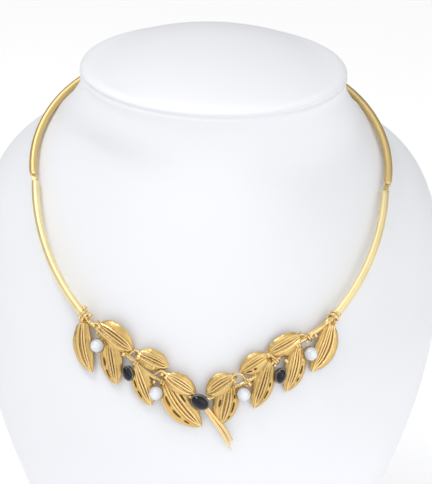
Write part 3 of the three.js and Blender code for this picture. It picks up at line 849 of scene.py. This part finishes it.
class NECKLACE_OT_neck_bust(Build):
    """The plain white neck bust"""

    bl_idname = "necklace.neck_bust"
    bl_label = "Neck bust"

    foot_crease = 0.9
    pivot = 9.4  # the depth at which a sloping row of the neck is at its own height
    disc_lean = 0.105  # how much the disc's rows slope down to the front
    # How much wider the neck's rows get: height, slope and share.
    flare = [(186, 0.09, 1.04), (180, 0.07, 1.045), (174, 0.05, 1.03)]
    row_reach = 0.3  # how far off its height a row's corners may be
    seam = 195.7  # height of the seam under the disc
    seam_reach = 0.32
    seam_depth = 0.6
    disc_foot = 190  # all above is the disc
    disc_middle = 11.7  # its depth
    cushion = 5.5  # how far the disc's cushion rises
    cushion_reach = 39

    def build(self):
        bust = copy_of(frame["nodes"]["neck_bust"], "neck_bust_cover")
        bust.parent = None
        bust.hide_render = bust.hide_viewport = False
        activate(bust)
        bust.data.materials.clear()
        open_piece("neck_bust_cover")
        bpy.ops.mesh.remove_doubles(threshold=MM / 1000)
        bpy.ops.mesh.tris_convert_to_quads()
        pick(bust, lambda edge, place: place.z < MM / 100 and all(
            (vertex.co.xy - place.xy).length > 0.1 * MM and vertex.co.xy.length > 10 * MM
            for vertex in edge.verts), "EDGE")
        bpy.ops.transform.edge_crease(value=self.foot_crease)
        for height, lean, share in self.flare:
            pick(bust, lambda vertex, spot: abs(self.level(spot, lean) - height) < self.row_reach)
            bpy.ops.transform.resize(value=(share, 1, 1), center_override=(0, 0, 0))
        bpy.ops.object.mode_set(mode="OBJECT")
        subdivide(bust, 2)
        open_piece("neck_bust_cover")
        pick(bust, lambda vertex, spot: abs(self.level(spot, self.disc_lean) - self.seam) < self.seam_reach)
        bpy.ops.transform.shrink_fatten(value=-self.seam_depth * MM)
        pick(bust, lambda vertex, spot: self.level(spot, self.disc_lean) > self.disc_foot
             and (spot.xy - Vector((0, self.disc_middle * MM))).length < MM)
        bpy.ops.transform.translate(
            value=(0, 0, self.cushion * MM), use_proportional_edit=True, use_proportional_connected=True,
            proportional_edit_falloff="INVERSE_SQUARE", proportional_size=self.cushion_reach * MM)
        bpy.ops.object.mode_set(mode="OBJECT")
        hand_over(bust, "root", "bust_cover", "leatherette", "neck_bust")

    def level(self, spot, lean):
        """The height of a spot's row at the pivot, in millimetres."""
        return spot.z / MM - lean * (spot.y / MM - self.pivot)


def spun_tube(name, arcs, sides):
    """An open round tube along arcs in the collar's own plane."""
    first = arcs[0]
    deselect_all()
    bpy.ops.mesh.primitive_circle_add(
        vertices=sides, radius=TUBE_RADIUS * MM, location=arc_point(first, first.start) * MM,
        rotation=(math.pi / 2, 0, first.start))
    apply_place(bpy.context.object)
    tube = open_piece(name)
    for arc in arcs:
        bpy.ops.mesh.spin(steps=arc.steps, angle=arc.start - arc.end,
                          center=(arc.x * MM, arc.y * MM, 0), axis=UP)
    return tube


def back_along(angle):
    """The way back up a front tube from an angle of its arc."""
    return Vector((-math.sin(angle), math.cos(angle), 0))


def end_loop(tube, centre):
    """Selects the open loop round a place, in millimetres."""
    pick(tube, lambda edge, place: edge.is_boundary and (place - centre * MM).length < 1.2 * TUBE_RADIUS * MM,
         "EDGE")


class NECKLACE_OT_front_tubes(Build):
    """The two front tubes, each with its hinge tongue and its bore for the branch"""

    bl_idname = "necklace.front_tubes"
    bl_label = "Front tubes"

    tongue_width = 1.7
    tongue_thickness = 1.0
    tongue_edge = 0.12
    tongue_buried = 0.8  # length inside the tube
    # the tongue's band of painted shadow at its foot
    foot_length = 0.55  # of its dark band
    eye_radius = 1.0
    eye_hole = 0.62
    eye_overlap = 0.8  # how far the tongue's end lies inside the eye's rim, in shares of its radius
    eye_edge = 0.1
    bore_radius = 1.05
    bore_depth = 3

    def build(self):
        collar = sizes("collar")
        for side, name in ((-1, "left"), (1, "right")):
            arc = FRONT_ARCS[side]
            top, bottom = (arc_point(arc, angle) for angle in (arc.start, arc.end))
            tube = spun_tube("tube", [arc], collar.tube_sides)
            tube.data.materials.append(finish_named("tube_gold"))
            end_loop(tube, top)
            bpy.ops.mesh.edge_face_add()
            self.bore(tube, bottom, back_along(arc.end))
            close_piece(tube)
            soften(tube, collar.edge)
            piece = put(join([tube, *self.tongue(top)], f"front_tube_{name}_gold"), COLLAR)
            if side < 0:
                mirror(piece)
            hand_over(piece, "root", "tube_gold", "tube_gold", f"front_tube_{name}")

    def bore(self, tube, bottom, inward):
        """Turns the open end inwards, so that the branch goes into a bore."""
        end_loop(tube, bottom)
        bpy.ops.mesh.extrude_edges_move()
        bpy.ops.transform.resize(
            value=(self.bore_radius / TUBE_RADIUS,) * 3, center_override=bottom * MM)
        bpy.ops.mesh.extrude_edges_move(
            TRANSFORM_OT_translate={"value": inward * self.bore_depth * MM})
        bpy.ops.mesh.edge_face_add()

    def paint_shadow_at_foot(self, neck, top, along):
        """Gives the tongue a band of painted shadow where it leaves the tube."""
        for finish in ("arm_gold", "slit_gold"):
            neck.data.materials.append(finish_named(finish))
        foot = (top + along * self.foot_length) * MM
        open_piece("tongue", "FACE")
        bpy.ops.mesh.bisect(plane_co=foot, plane_no=along)
        pick(neck, lambda face, spot: (spot - foot).dot(along) < 0, "FACE")
        neck.active_material_index = 1
        bpy.ops.object.material_slot_assign()
        close_piece(neck)

    def tongue(self, top):
        """The flat tongue and its eye, which turns on the pin."""
        along = HINGE - top
        reach = self.eye_radius * self.eye_overlap
        length = along.length - reach + self.tongue_buried
        middle = HINGE - along.normalized() * (reach + length / 2)
        neck = block(middle, (length, self.tongue_width, self.tongue_thickness), math.atan2(along.y, along.x))
        soften(neck, self.tongue_edge * MM)
        self.paint_shadow_at_foot(neck, top, along.normalized())
        half, radius, edge = self.tongue_thickness / 2, self.eye_radius, self.eye_edge
        eye = lathe("eye", [
            (self.eye_hole, -half), (radius - edge, -half), (radius, edge - half), (radius, half - edge),
            (radius - edge, half), (self.eye_hole, half), (self.eye_hole, -half)])
        eye.data.materials.append(finish_named("tube_gold"))
        return [neck, put(eye, Matrix.Translation(HINGE * MM))]


class NECKLACE_OT_arms(Build):
    """The two curved arms, slotted and rounded at the hinge"""

    bl_idname = "necklace.arms"
    bl_label = "Arms"

    slot = 1.5
    slot_depth = 1.35
    hole = 0.62
    dome_steps = 6
    dome = 0.55  # height of the dome, in shares of the tube's radius
    dome_top = 0.02  # radius of its last ring, in the same shares

    def build(self):
        collar = sizes("collar")
        arm = spun_tube("arm", [ARM_CORNER, ARM_NAPE], collar.tube_sides)
        end_loop(arm, arc_point(ARM_NAPE, ARM_NAPE.end))
        bpy.ops.mesh.edge_face_add()
        self.round_end(arm)
        close_piece(arm)
        self.fork(arm)
        soften(arm, collar.edge)
        hand_over_arms(put(arm, COLLAR), "arm", "arm_gold")

    def round_end(self, arm):
        """Closes the hinge end with a dome, ring by ring."""
        outward = Vector((math.sin(ARM_CORNER.start), -math.cos(ARM_CORNER.start), 0))
        height = outward * self.dome * TUBE_RADIUS * MM
        end_loop(arm, HINGE)
        for step in range(1, self.dome_steps + 1):
            near, far = ((step - lag) * math.pi / 2 / self.dome_steps for lag in (1, 0))
            bpy.ops.mesh.extrude_edges_move(
                TRANSFORM_OT_translate={"value": height * (math.sin(far) - math.sin(near))})
            share = max(math.cos(far), self.dome_top) / math.cos(near)
            bpy.ops.transform.resize(
                value=(share,) * 3, center_override=HINGE * MM + height * math.sin(far))
        bpy.ops.mesh.edge_face_add()

    def fork(self, arm):
        """Slots the end for the tongue and drills it for the pin."""
        clear = 3 * TUBE_RADIUS
        turn = Matrix.Rotation(ARM_CORNER.start, 4, "Z")
        middle = HINGE + turn @ Vector((0, (self.slot_depth - clear) / 2, 0))
        cut(arm, block(middle, (clear, self.slot_depth + clear, self.slot), ARM_CORNER.start))
        deselect_all()
        bpy.ops.mesh.primitive_cylinder_add(
            vertices=24, radius=self.hole * MM, depth=clear * MM, location=HINGE * MM)
        cut(arm, apply_place(bpy.context.object))


class NECKLACE_OT_hinge_pins(Build):
    """The two hinge pins, each with a low domed head"""

    bl_idname = "necklace.hinge_pins"
    bl_label = "Hinge pins"

    radius = 0.42
    reach = 1.45

    def build(self):
        head = sizes("collar").pin_head / MM
        profile = [(0, -self.reach - 0.12), (0.3, -self.reach - 0.1), (self.radius, -self.reach)]
        profile += [(self.radius, self.reach - 0.16), (head, self.reach - 0.06), (head, self.reach + 0.02)]
        profile += [(0.8 * head, self.reach + 0.14), (0.45 * head, self.reach + 0.21), (0, self.reach + 0.23)]
        pin = lathe("pin", profile, 24)
        hand_over_arms(put(pin, COLLAR @ Matrix.Translation(HINGE * MM)), "hinge_pin", "tube_gold")


class NECKLACE_OT_clasp(Build):
    """The barrel clasp at the nape"""

    bl_idname = "necklace.clasp"
    bl_label = "Clasp"

    def build(self):
        half, radius = CLASP_LENGTH / 2, 1.75
        groove, ring = 0.14, 0.5
        profile = [(0, -half), (radius - 0.35, -half), (radius - 0.1, 0.12 - half), (radius, 0.35 - half)]
        for middle in (0.8 - half, 0, half - 0.8):
            profile += [(radius, middle - ring / 2), (radius - groove, middle - ring / 4),
                        (radius - groove, middle + ring / 4), (radius, middle + ring / 2)]
        profile += [(radius, half - 0.35), (radius - 0.1, half - 0.12), (radius - 0.35, half), (0, half)]
        clasp = lathe("clasp_gold", profile, 40)
        turn = Matrix.Rotation(math.pi / 2, 4, "Y")
        put(clasp, COLLAR @ Matrix.Translation((0, (NAPE_Y + NAPE_RADIUS) * MM, 0)) @ turn)
        hand_over(clasp, "right_arm", "tube_gold", "tube_gold", "clasp")


BRANCH_IN_TUBE = 2.7  # length of a branch inside its tube's bore


def branch_places(side):
    """A branch's way: inside its tube, then along its points. Side is -1 left or 1 right."""
    arc = FRONT_ARCS[side]
    inside = []
    for depth in (BRANCH_IN_TUBE, 0):
        place = arc_point(arc, arc.end) + back_along(arc.end) * depth
        inside.append(COLLAR @ (Vector((side * place.x, place.y, 0)) * MM))
    points = LEFT_BRANCH if side < 0 else RIGHT_BRANCH
    return inside + [on_chest(*point)[0] for point in points]


def branch_at(side, x):
    """Where a branch passes a distance across the chest, and the way on."""
    places = branch_places(side)
    for near, far in zip(places, places[1:]):
        share = (x * MM - near.x) / (far.x - near.x)
        if 0 <= share <= 1:
            return near.lerp(far, share), (far - near).normalized()
    raise RuntimeError(f"the branch doesn't pass {x}")


class NECKLACE_OT_branches(Build):
    """The two branches and the twig"""

    bl_idname = "necklace.branches"
    bl_label = "Branches"

    def build(self):
        ways = {
            "branch_left": (branch_places(-1), LEFT_TAPER),
            "branch_right": (branch_places(1), RIGHT_TAPER),
            "twig": ([on_chest(*point)[0] for point in TWIG], TWIG_TAPER),
        }
        for name, (places, taper) in ways.items():
            solder(wire(name, list(zip(places, taper, strict=True)), sizes("spray").branch, 6))


def coil(name, turns, radius, pitch, wire_radius):
    """Turns of wire about Z, closed at both ends."""
    deselect_all()
    bpy.ops.mesh.primitive_circle_add(
        vertices=10, radius=wire_radius, location=(radius, 0, 0), rotation=(math.pi / 2, 0, 0))
    piece = apply_place(bpy.context.object)
    modify(piece, "SCREW", angle=2 * math.pi, screw_offset=pitch, iterations=turns, steps=24,
           render_steps=24, use_merge_vertices=True, merge_threshold=MM / 1000)
    open_piece(name)
    bpy.ops.mesh.fill_holes(sides=0)
    return close_piece(piece)


class NECKLACE_OT_bindings(Build):
    """Binding wire over the tubes' ends and along the branches"""

    bl_idname = "necklace.bindings"
    bl_label = "Bindings"

    reach = 1.2  # radius of the turns round a branch and its stalks
    rise = 0.6  # how far their middle stands out from the branch's
    pitch = 2.1  # from turn to turn, in shares of the wire's radius
    over_tube = 0.3  # how far the wire's middle stands off a tube
    up_tube = 1.7  # where it begins, from the tube's end
    tube_pitch = 1.4
    tube_wire = 1.2  # how much thicker the wire over a tube is

    def build(self):
        thickness = sizes("spray").binding
        for side, name in ((-1, "left"), (1, "right")):
            start, end = branch_places(side)[:2]
            along = (end - start).normalized()
            wraps = coil(f"tube_binding_{name}", 2, (TUBE_RADIUS + self.over_tube) * MM, self.tube_pitch * MM,
                         self.tube_wire * thickness)
            solder(put(wraps, frame_at(end - along * self.up_tube * MM, along, UP)))
        for number, binding in enumerate(BINDINGS, 1):
            start, along = branch_at(binding.side, binding.x)
            _, outward = on_chest(binding.x, COLLAR_HEIGHT - start.z / MM, 0)
            wraps = coil(f"branch_binding_{number}", binding.turns, self.reach * MM,
                         self.pitch * thickness, thickness)
            solder(put(wraps, frame_at(start + outward * self.rise * MM, along, outward)))


# A blade's columns from its midrib to its rim: how far across, in shares of the lobe's width, and how
# high, in shares of the relief.
MIDRIB_HEIGHT = 0.1
LOBE = [(0.16, 0.15), (0.32, 0.4), (0.46, 0.8), (0.58, 0.85), (0.8, 0.62), (1, 0)]
BLADE_COLUMNS = [(-share, height) for share, height in reversed(LOBE)] + [(0, MIDRIB_HEIGHT)] + LOBE
BLADE_ROWS = 12
SLIT_COLUMN = 9.5  # between the columns at 0.46 and 0.58 on the right
SLIT_INSET = 0.11
SLIT_DEPTH = 0.8
BLADE_FINISHES = ["leaf_gold", "slit_gold", "groove_gold"]
# the slots of the painted shade in the slits and between the ridges
SLIT, GROOVE = 1, 2  # their slots
GROOVE_ENDS = 0.83  # how far along the grid, from its middle, the grooves reach
LEAF_SKEW = 0.94
LEAST_FULL = 0.07
RELIEF_FADE = 0.7  # how fast the relief sinks with the width at a leaf's ends


def leaf_fullness(share):
    """A leaf's width along it, in shares of its widest: blunt at the base and keener at the tip."""
    share = min(max(share, 0), 1)
    return max(math.sin(math.pi * share ** LEAF_SKEW), 0.0) ** (0.42 + 0.12 * share)


def lobe_height(across):
    """A blade's height at a share of its lobe's width, in shares of the relief."""
    columns = [(0, MIDRIB_HEIGHT), *LOBE]
    across = abs(across)
    for (near, low), (far, high) in zip(columns, columns[1:]):
        if across <= far:
            return low + (high - low) * (across - near) / (far - near)
    return 0


class NECKLACE_OT_leaves(Build):
    """The fourteen leaves with their ridges and veins"""

    bl_idname = "necklace.leaves"
    bl_label = "Leaves"

    arch = 0.5  # how far a leaf's middle rises over a straight line
    dents = 0.35  # depth of the uneven surface, in millimetres
    dent_size = 2.2
    aside = 10  # moves the columns that are done out of the way of those to come
    ridge_shares = [-0.06, 0.05, 0.2, 0.4, 0.6, 0.8, 1]
    ridge_taper = [0.8, 1.05, 1, 1, 0.95, 0.85, 0.5]
    ridge_dip = 1  # how far a ridge's start goes down to the branch, in millimetres
    ridge_rise = 0.6  # how far a ridge's middle is over the blade, in shares of its radius
    least_spread = 0.55  # how near the ridges come together at the base
    # A vein's lift off the chest at its start and crest, the place and bulge of its bend, and its taper.
    vein_lifts = (1.4, 3.9)
    vein_bend = 0.55
    vein_forward = 0.3
    vein_bulge = 0.4
    vein_taper = (1.1, 1.05, 1)

    def build(self):
        for leaf in LEAVES:
            base, _ = on_chest(leaf.x, leaf.drop, leaf.lift)
            tip, _ = on_chest(leaf.tip_x, leaf.tip_drop, leaf.tip_lift)
            outward = on_chest((leaf.x + leaf.tip_x) / 2, (leaf.drop + leaf.tip_drop) / 2, 0)[1]
            along = tip - base
            outward = (outward - along * outward.dot(along) / along.length_squared).normalized()
            place = frame_at(base, outward, along)
            parts = [self.blade(leaf, along.length, place)]
            for number, across in enumerate(leaf.ridges):
                vein = VEINS.get(leaf.name) if number == 1 else None
                parts.append(self.ridge(leaf, across, along.length, place, vein))
            solder(join(parts, f"leaf_{leaf.name}"))

    def row_place(self, leaf, share):
        """Sideways and outward shift of a blade's row, in metres."""
        return -leaf.bow * MM * 4 * share * (1 - share), self.arch * MM * math.sin(math.pi * share)

    def blade(self, leaf, length, place):
        """The sheet: a grid whose columns are raised to lobes and whose rows are drawn in to the outline."""
        spray = sizes("spray")
        columns = len(BLADE_COLUMNS)
        deselect_all()
        bpy.ops.mesh.primitive_grid_add(x_subdivisions=columns - 1, y_subdivisions=BLADE_ROWS, size=2)
        blade = open_piece("blade")
        for finish in BLADE_FINISHES:
            blade.data.materials.append(finish_named(finish))
        self.paint_shade_in_grooves_and_slits(blade, SLITS.get(leaf.name, ()))
        for number, (across, height) in enumerate(BLADE_COLUMNS):
            was = number * 2 / (columns - 1) - 1
            lobe = leaf.right if across > 0 else leaf.left
            pick(blade, lambda vertex, spot: abs(spot.x - was) < 0.01)
            bpy.ops.transform.translate(
                value=(self.aside + across * lobe * MM - was, 0, height * spray.relief))
        bpy.ops.mesh.select_all(action="SELECT")
        bpy.ops.transform.translate(value=(-self.aside, 0, 0))
        for number in range(BLADE_ROWS + 1):
            share = number / BLADE_ROWS
            row = 2 * share - 1
            fullness = max(leaf_fullness(share), LEAST_FULL)
            sideways, outward = self.row_place(leaf, share)
            pick(blade, lambda vertex, spot: abs(spot.y - row) < 0.01)
            bpy.ops.transform.resize(
                value=(fullness, 1, fullness ** RELIEF_FADE), center_override=(0, row, 0))
            bpy.ops.transform.translate(value=(sideways, 0, outward))
        bpy.ops.mesh.select_all(action="SELECT")
        bpy.ops.transform.translate(value=(0, 1, 0))
        bpy.ops.object.mode_set(mode="OBJECT")
        blade.scale = (1, length / 2, 1)
        apply_place(blade)
        self.sink_slits(blade)
        modify(blade, "SOLIDIFY", thickness=spray.blade, offset=-1)
        subdivide(blade, 2)
        put(blade, place)
        dents = bpy.data.textures.new(f"{leaf.name}_dents", "CLOUDS")
        dents.noise_scale = self.dent_size * MM
        return modify(blade, "DISPLACE", texture=dents, strength=self.dents * MM, texture_coords="GLOBAL")

    @staticmethod
    def paint_shade_in_grooves_and_slits(blade, slits):
        """Paints shade on the band under the ridges and, darker, in the slits, while the grid is still even.
        """
        width, height = 2 / (len(BLADE_COLUMNS) - 1), 2 / BLADE_ROWS
        slit = SLIT_COLUMN * width - 1
        cells = [(side * slit, height * (row + 0.5) - 1) for side, first, last in slits
                 for row in range(first, last + 1)]

        def is_slit(face, spot):
            return any(abs(spot.x - x) < width / 4 and abs(spot.y - y) < height / 4 for x, y in cells)

        def is_groove(face, spot):
            return abs(spot.x) < 2 * width and abs(spot.y) < GROOVE_ENDS

        for slot, test in ((GROOVE, is_groove), (SLIT, is_slit)):
            pick(blade, test, "FACE")
            blade.active_material_index = slot
            bpy.ops.object.material_slot_assign()

    @staticmethod
    def sink_slits(blade):
        """Narrows the slits and pushes their floors into the blade."""
        activate(blade)
        open_piece("blade", "FACE")
        pick(blade, lambda face, spot: face.material_index == SLIT, "FACE")
        bpy.ops.mesh.inset(thickness=SLIT_INSET * MM)
        bpy.ops.transform.translate(value=(0, 0, -SLIT_DEPTH * MM))
        bpy.ops.object.mode_set(mode="OBJECT")

    def ridge(self, leaf, across, length, place, vein):
        """A round ridge along the blade. A vein's ridge begins at the branch and arches over the base."""
        spray = sizes("spray")
        lobe = leaf.right if across > 0 else leaf.left

        def over(share):
            sideways, outward = self.row_place(leaf, share)
            fullness = leaf_fullness(share)
            spread = max(fullness, self.least_spread) if share < 0.5 else fullness
            height = spray.relief * fullness ** RELIEF_FADE * lobe_height(across) + outward
            height += self.ridge_rise * spray.vein
            if share < 0:
                height -= self.ridge_dip * MM
            return place @ Vector((sideways + across * lobe * MM * spread, share * length, height))

        knots = [(over(share), taper) for share, taper in zip(self.ridge_shares, self.ridge_taper)]
        if vein:
            start = on_chest(vein.x, vein.drop, self.vein_lifts[0])[0]
            crest, outward = on_chest(vein.crest_x, vein.crest_drop, self.vein_lifts[1])
            bend = start.lerp(crest, self.vein_bend) + (crest - start).normalized() * self.vein_forward * MM
            bend += outward * self.vein_bulge * MM
            knots = [*zip((start, bend, crest), self.vein_taper), *knots[1:]]
        ridge = wire("ridge", knots, spray.vein, 3)
        ridge.data.materials.append(finish_named("wire_gold"))
        return ridge


class NECKLACE_OT_granules(Build):
    """Small balls soldered along the branches"""

    bl_idname = "necklace.granules"
    bl_label = "Granules"

    def build(self):
        foot = [(0, -1.9), (0.45, -1.9), (0.5, -0.85)]  # in shares of a ball's radius
        profile = [*foot, *round_profile(1, range(20, 180, 16)), (0, 1)]
        balls = []
        for granule in GRANULES:
            place, outward = on_chest(granule.x, granule.drop, granule.lift)
            ball = lathe("granule", profile, 20)
            balls.append(put(ball, frame_at(place, outward, UP) @ Matrix.Scale(granule.radius, 4)))
        solder(join(balls, "granules"))


def setting_of(node):
    """The middle of what a setting holds, its width and the way out from the chest."""
    low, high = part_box(node)
    middle = (low + high) / 2
    _, outward = on_chest(middle.x / MM, COLLAR_HEIGHT - middle.z / MM, 0)
    return middle, (high - low).y, outward


class NECKLACE_OT_pearls(Build):
    """The pearls and their cups"""

    bl_idname = "necklace.pearls"
    bl_label = "Pearls"

    share = 0.94  # of the room that the setting leaves for it
    flat_below = 0.8  # where a pearl's underside is a little flat, in shares of its radius
    flatness = 0.96
    dents = 0.06  # depth of its dents, in millimetres
    cup_degrees = range(0, 69, 17)
    cup_gap = 0.08
    cup_wall = 0.45
    rim_turn = math.degrees(0.09)

    def build(self):
        for node in PEARL_NODES:
            middle, width, outward = setting_of(node)
            radius = self.share * width / 2 / MM
            place = frame_at(middle, outward, UP)
            hand_over(self.pearl(node, radius, place), "root", "pearl", "pearl_lustre", node)
            solder(self.cup(node, radius, place))

    def pearl(self, node, radius, place):
        """A near-round pearl, a little dented by growth."""
        deselect_all()
        bpy.ops.mesh.primitive_uv_sphere_add(segments=32, ring_count=20, radius=radius * MM)
        pearl = open_piece(f"{node}_lustre")
        pick(pearl, lambda vertex, spot: spot.z < -self.flat_below * radius * MM)
        bpy.ops.transform.resize(value=(1, 1, self.flatness))
        close_piece(pearl)
        dents = bpy.data.textures.new(f"{node}_dents", "CLOUDS")
        dents.noise_scale = radius * MM
        modify(pearl, "DISPLACE", texture=dents, strength=self.dents * MM, texture_coords="LOCAL")
        return put(subdivide(pearl, 1), place)

    def cup(self, node, radius, place):
        """A shallow cup under the pearl, with a rolled rim."""
        inner, outer = radius + self.cup_gap, radius + self.cup_wall
        degrees = self.cup_degrees
        profile = [
            *round_profile(outer, degrees),
            *round_profile((inner + outer) / 2, [degrees[-1] + self.rim_turn]),
            *round_profile(inner, reversed(degrees)),
        ]
        return put(lathe(f"{node}_cup", profile, 40), place)


class NECKLACE_OT_cabochons(Build):
    """The oval stones and their bezels"""

    bl_idname = "necklace.cabochons"
    bl_label = "Cabochons"

    girdle = 0.8  # height of a stone's straight side
    below = 0.8  # how far a bezel reaches below its stone
    above = 1.05  # and above the stone's foot

    def build(self):
        for stone in STONES:
            middle, _, outward = setting_of(stone.node)
            turn = math.radians(stone.turn)
            place = frame_at(middle, outward, Vector((math.sin(turn), 0, math.cos(turn))))
            place @= Matrix.Diagonal((stone.short, stone.long, 1, 1))
            floor = -(self.girdle + stone.dome) / 2
            body = put(self.stone(stone, floor), place)
            hand_over(body, "root", "dark_stone", "dark_stone", stone.node)
            solder(put(self.bezel(stone, floor), place), "bezel_metal")

    def stone(self, stone, floor):
        """A domed stone on a low foot, one millimetre in radius until it is stretched to its oval."""
        edge = floor + self.girdle
        dome = [(math.cos(angle), edge + stone.dome * math.sin(angle))
                for angle in map(math.radians, range(0, 90, 9))]
        foot = [(0, floor), (0.94, floor), (1, floor + 0.1)]
        return lathe(f"{stone.node}_polished", [*foot, *dome, (0, edge + stone.dome)], 48)

    def bezel(self, stone, floor):
        """A band round the stone, rubbed over its edge."""
        back, rim = floor - self.below, floor + self.above
        outer = 1 + sizes("spray").bezel / MM / stone.short
        return lathe(f"{stone.node}_bezel", [
            (0, back), (outer, back), (outer, rim - 0.35), (outer - 0.03, rim - 0.1), (1.03, rim),
            (0.97, rim + 0.04), (0.94, rim - 0.1), (0.98, floor), (0, floor)], 48)


OPERATORS = [
    NECKLACE_OT_stage,
    NECKLACE_OT_neck_bust,
    NECKLACE_OT_front_tubes,
    NECKLACE_OT_arms,
    NECKLACE_OT_hinge_pins,
    NECKLACE_OT_clasp,
    NECKLACE_OT_branches,
    NECKLACE_OT_bindings,
    NECKLACE_OT_leaves,
    NECKLACE_OT_granules,
    NECKLACE_OT_pearls,
    NECKLACE_OT_cabochons,
]


class NECKLACE_PT_panel(bpy.types.Panel):
    """The necklace's pieces, sizes and colours"""

    bl_idname = "NECKLACE_PT_panel"
    bl_label = "Necklace"
    bl_space_type = "VIEW_3D"
    bl_region_type = "UI"
    bl_category = "Necklace"

    def draw(self, context):
        for operator in OPERATORS:
            self.layout.operator(operator.bl_idname)
        for group in SETTINGS:
            box = self.layout.box()
            settings = getattr(context.scene, group)
            for name in settings.__annotations__:
                box.prop(settings, name)


SETTINGS = {
    "necklace_collar": CollarSizes,
    "necklace_spray": SpraySizes,
    "necklace_colours": Colours,
    "necklace_stage": StageSettings,
}
CLASSES = [*SETTINGS.values(), *OPERATORS, NECKLACE_PT_panel]


def register():
    for group in CLASSES:
        bpy.utils.register_class(group)
    for name, group in SETTINGS.items():
        setattr(bpy.types.Scene, name, PointerProperty(type=group))


def unregister():
    for name in SETTINGS:
        delattr(bpy.types.Scene, name)
    for group in reversed(CLASSES):
        bpy.utils.unregister_class(group)


def main():
    register()
    for operator in OPERATORS:
        getattr(bpy.ops.necklace, operator.bl_idname.partition(".")[2])()


if __name__ == "__main__":
    main()
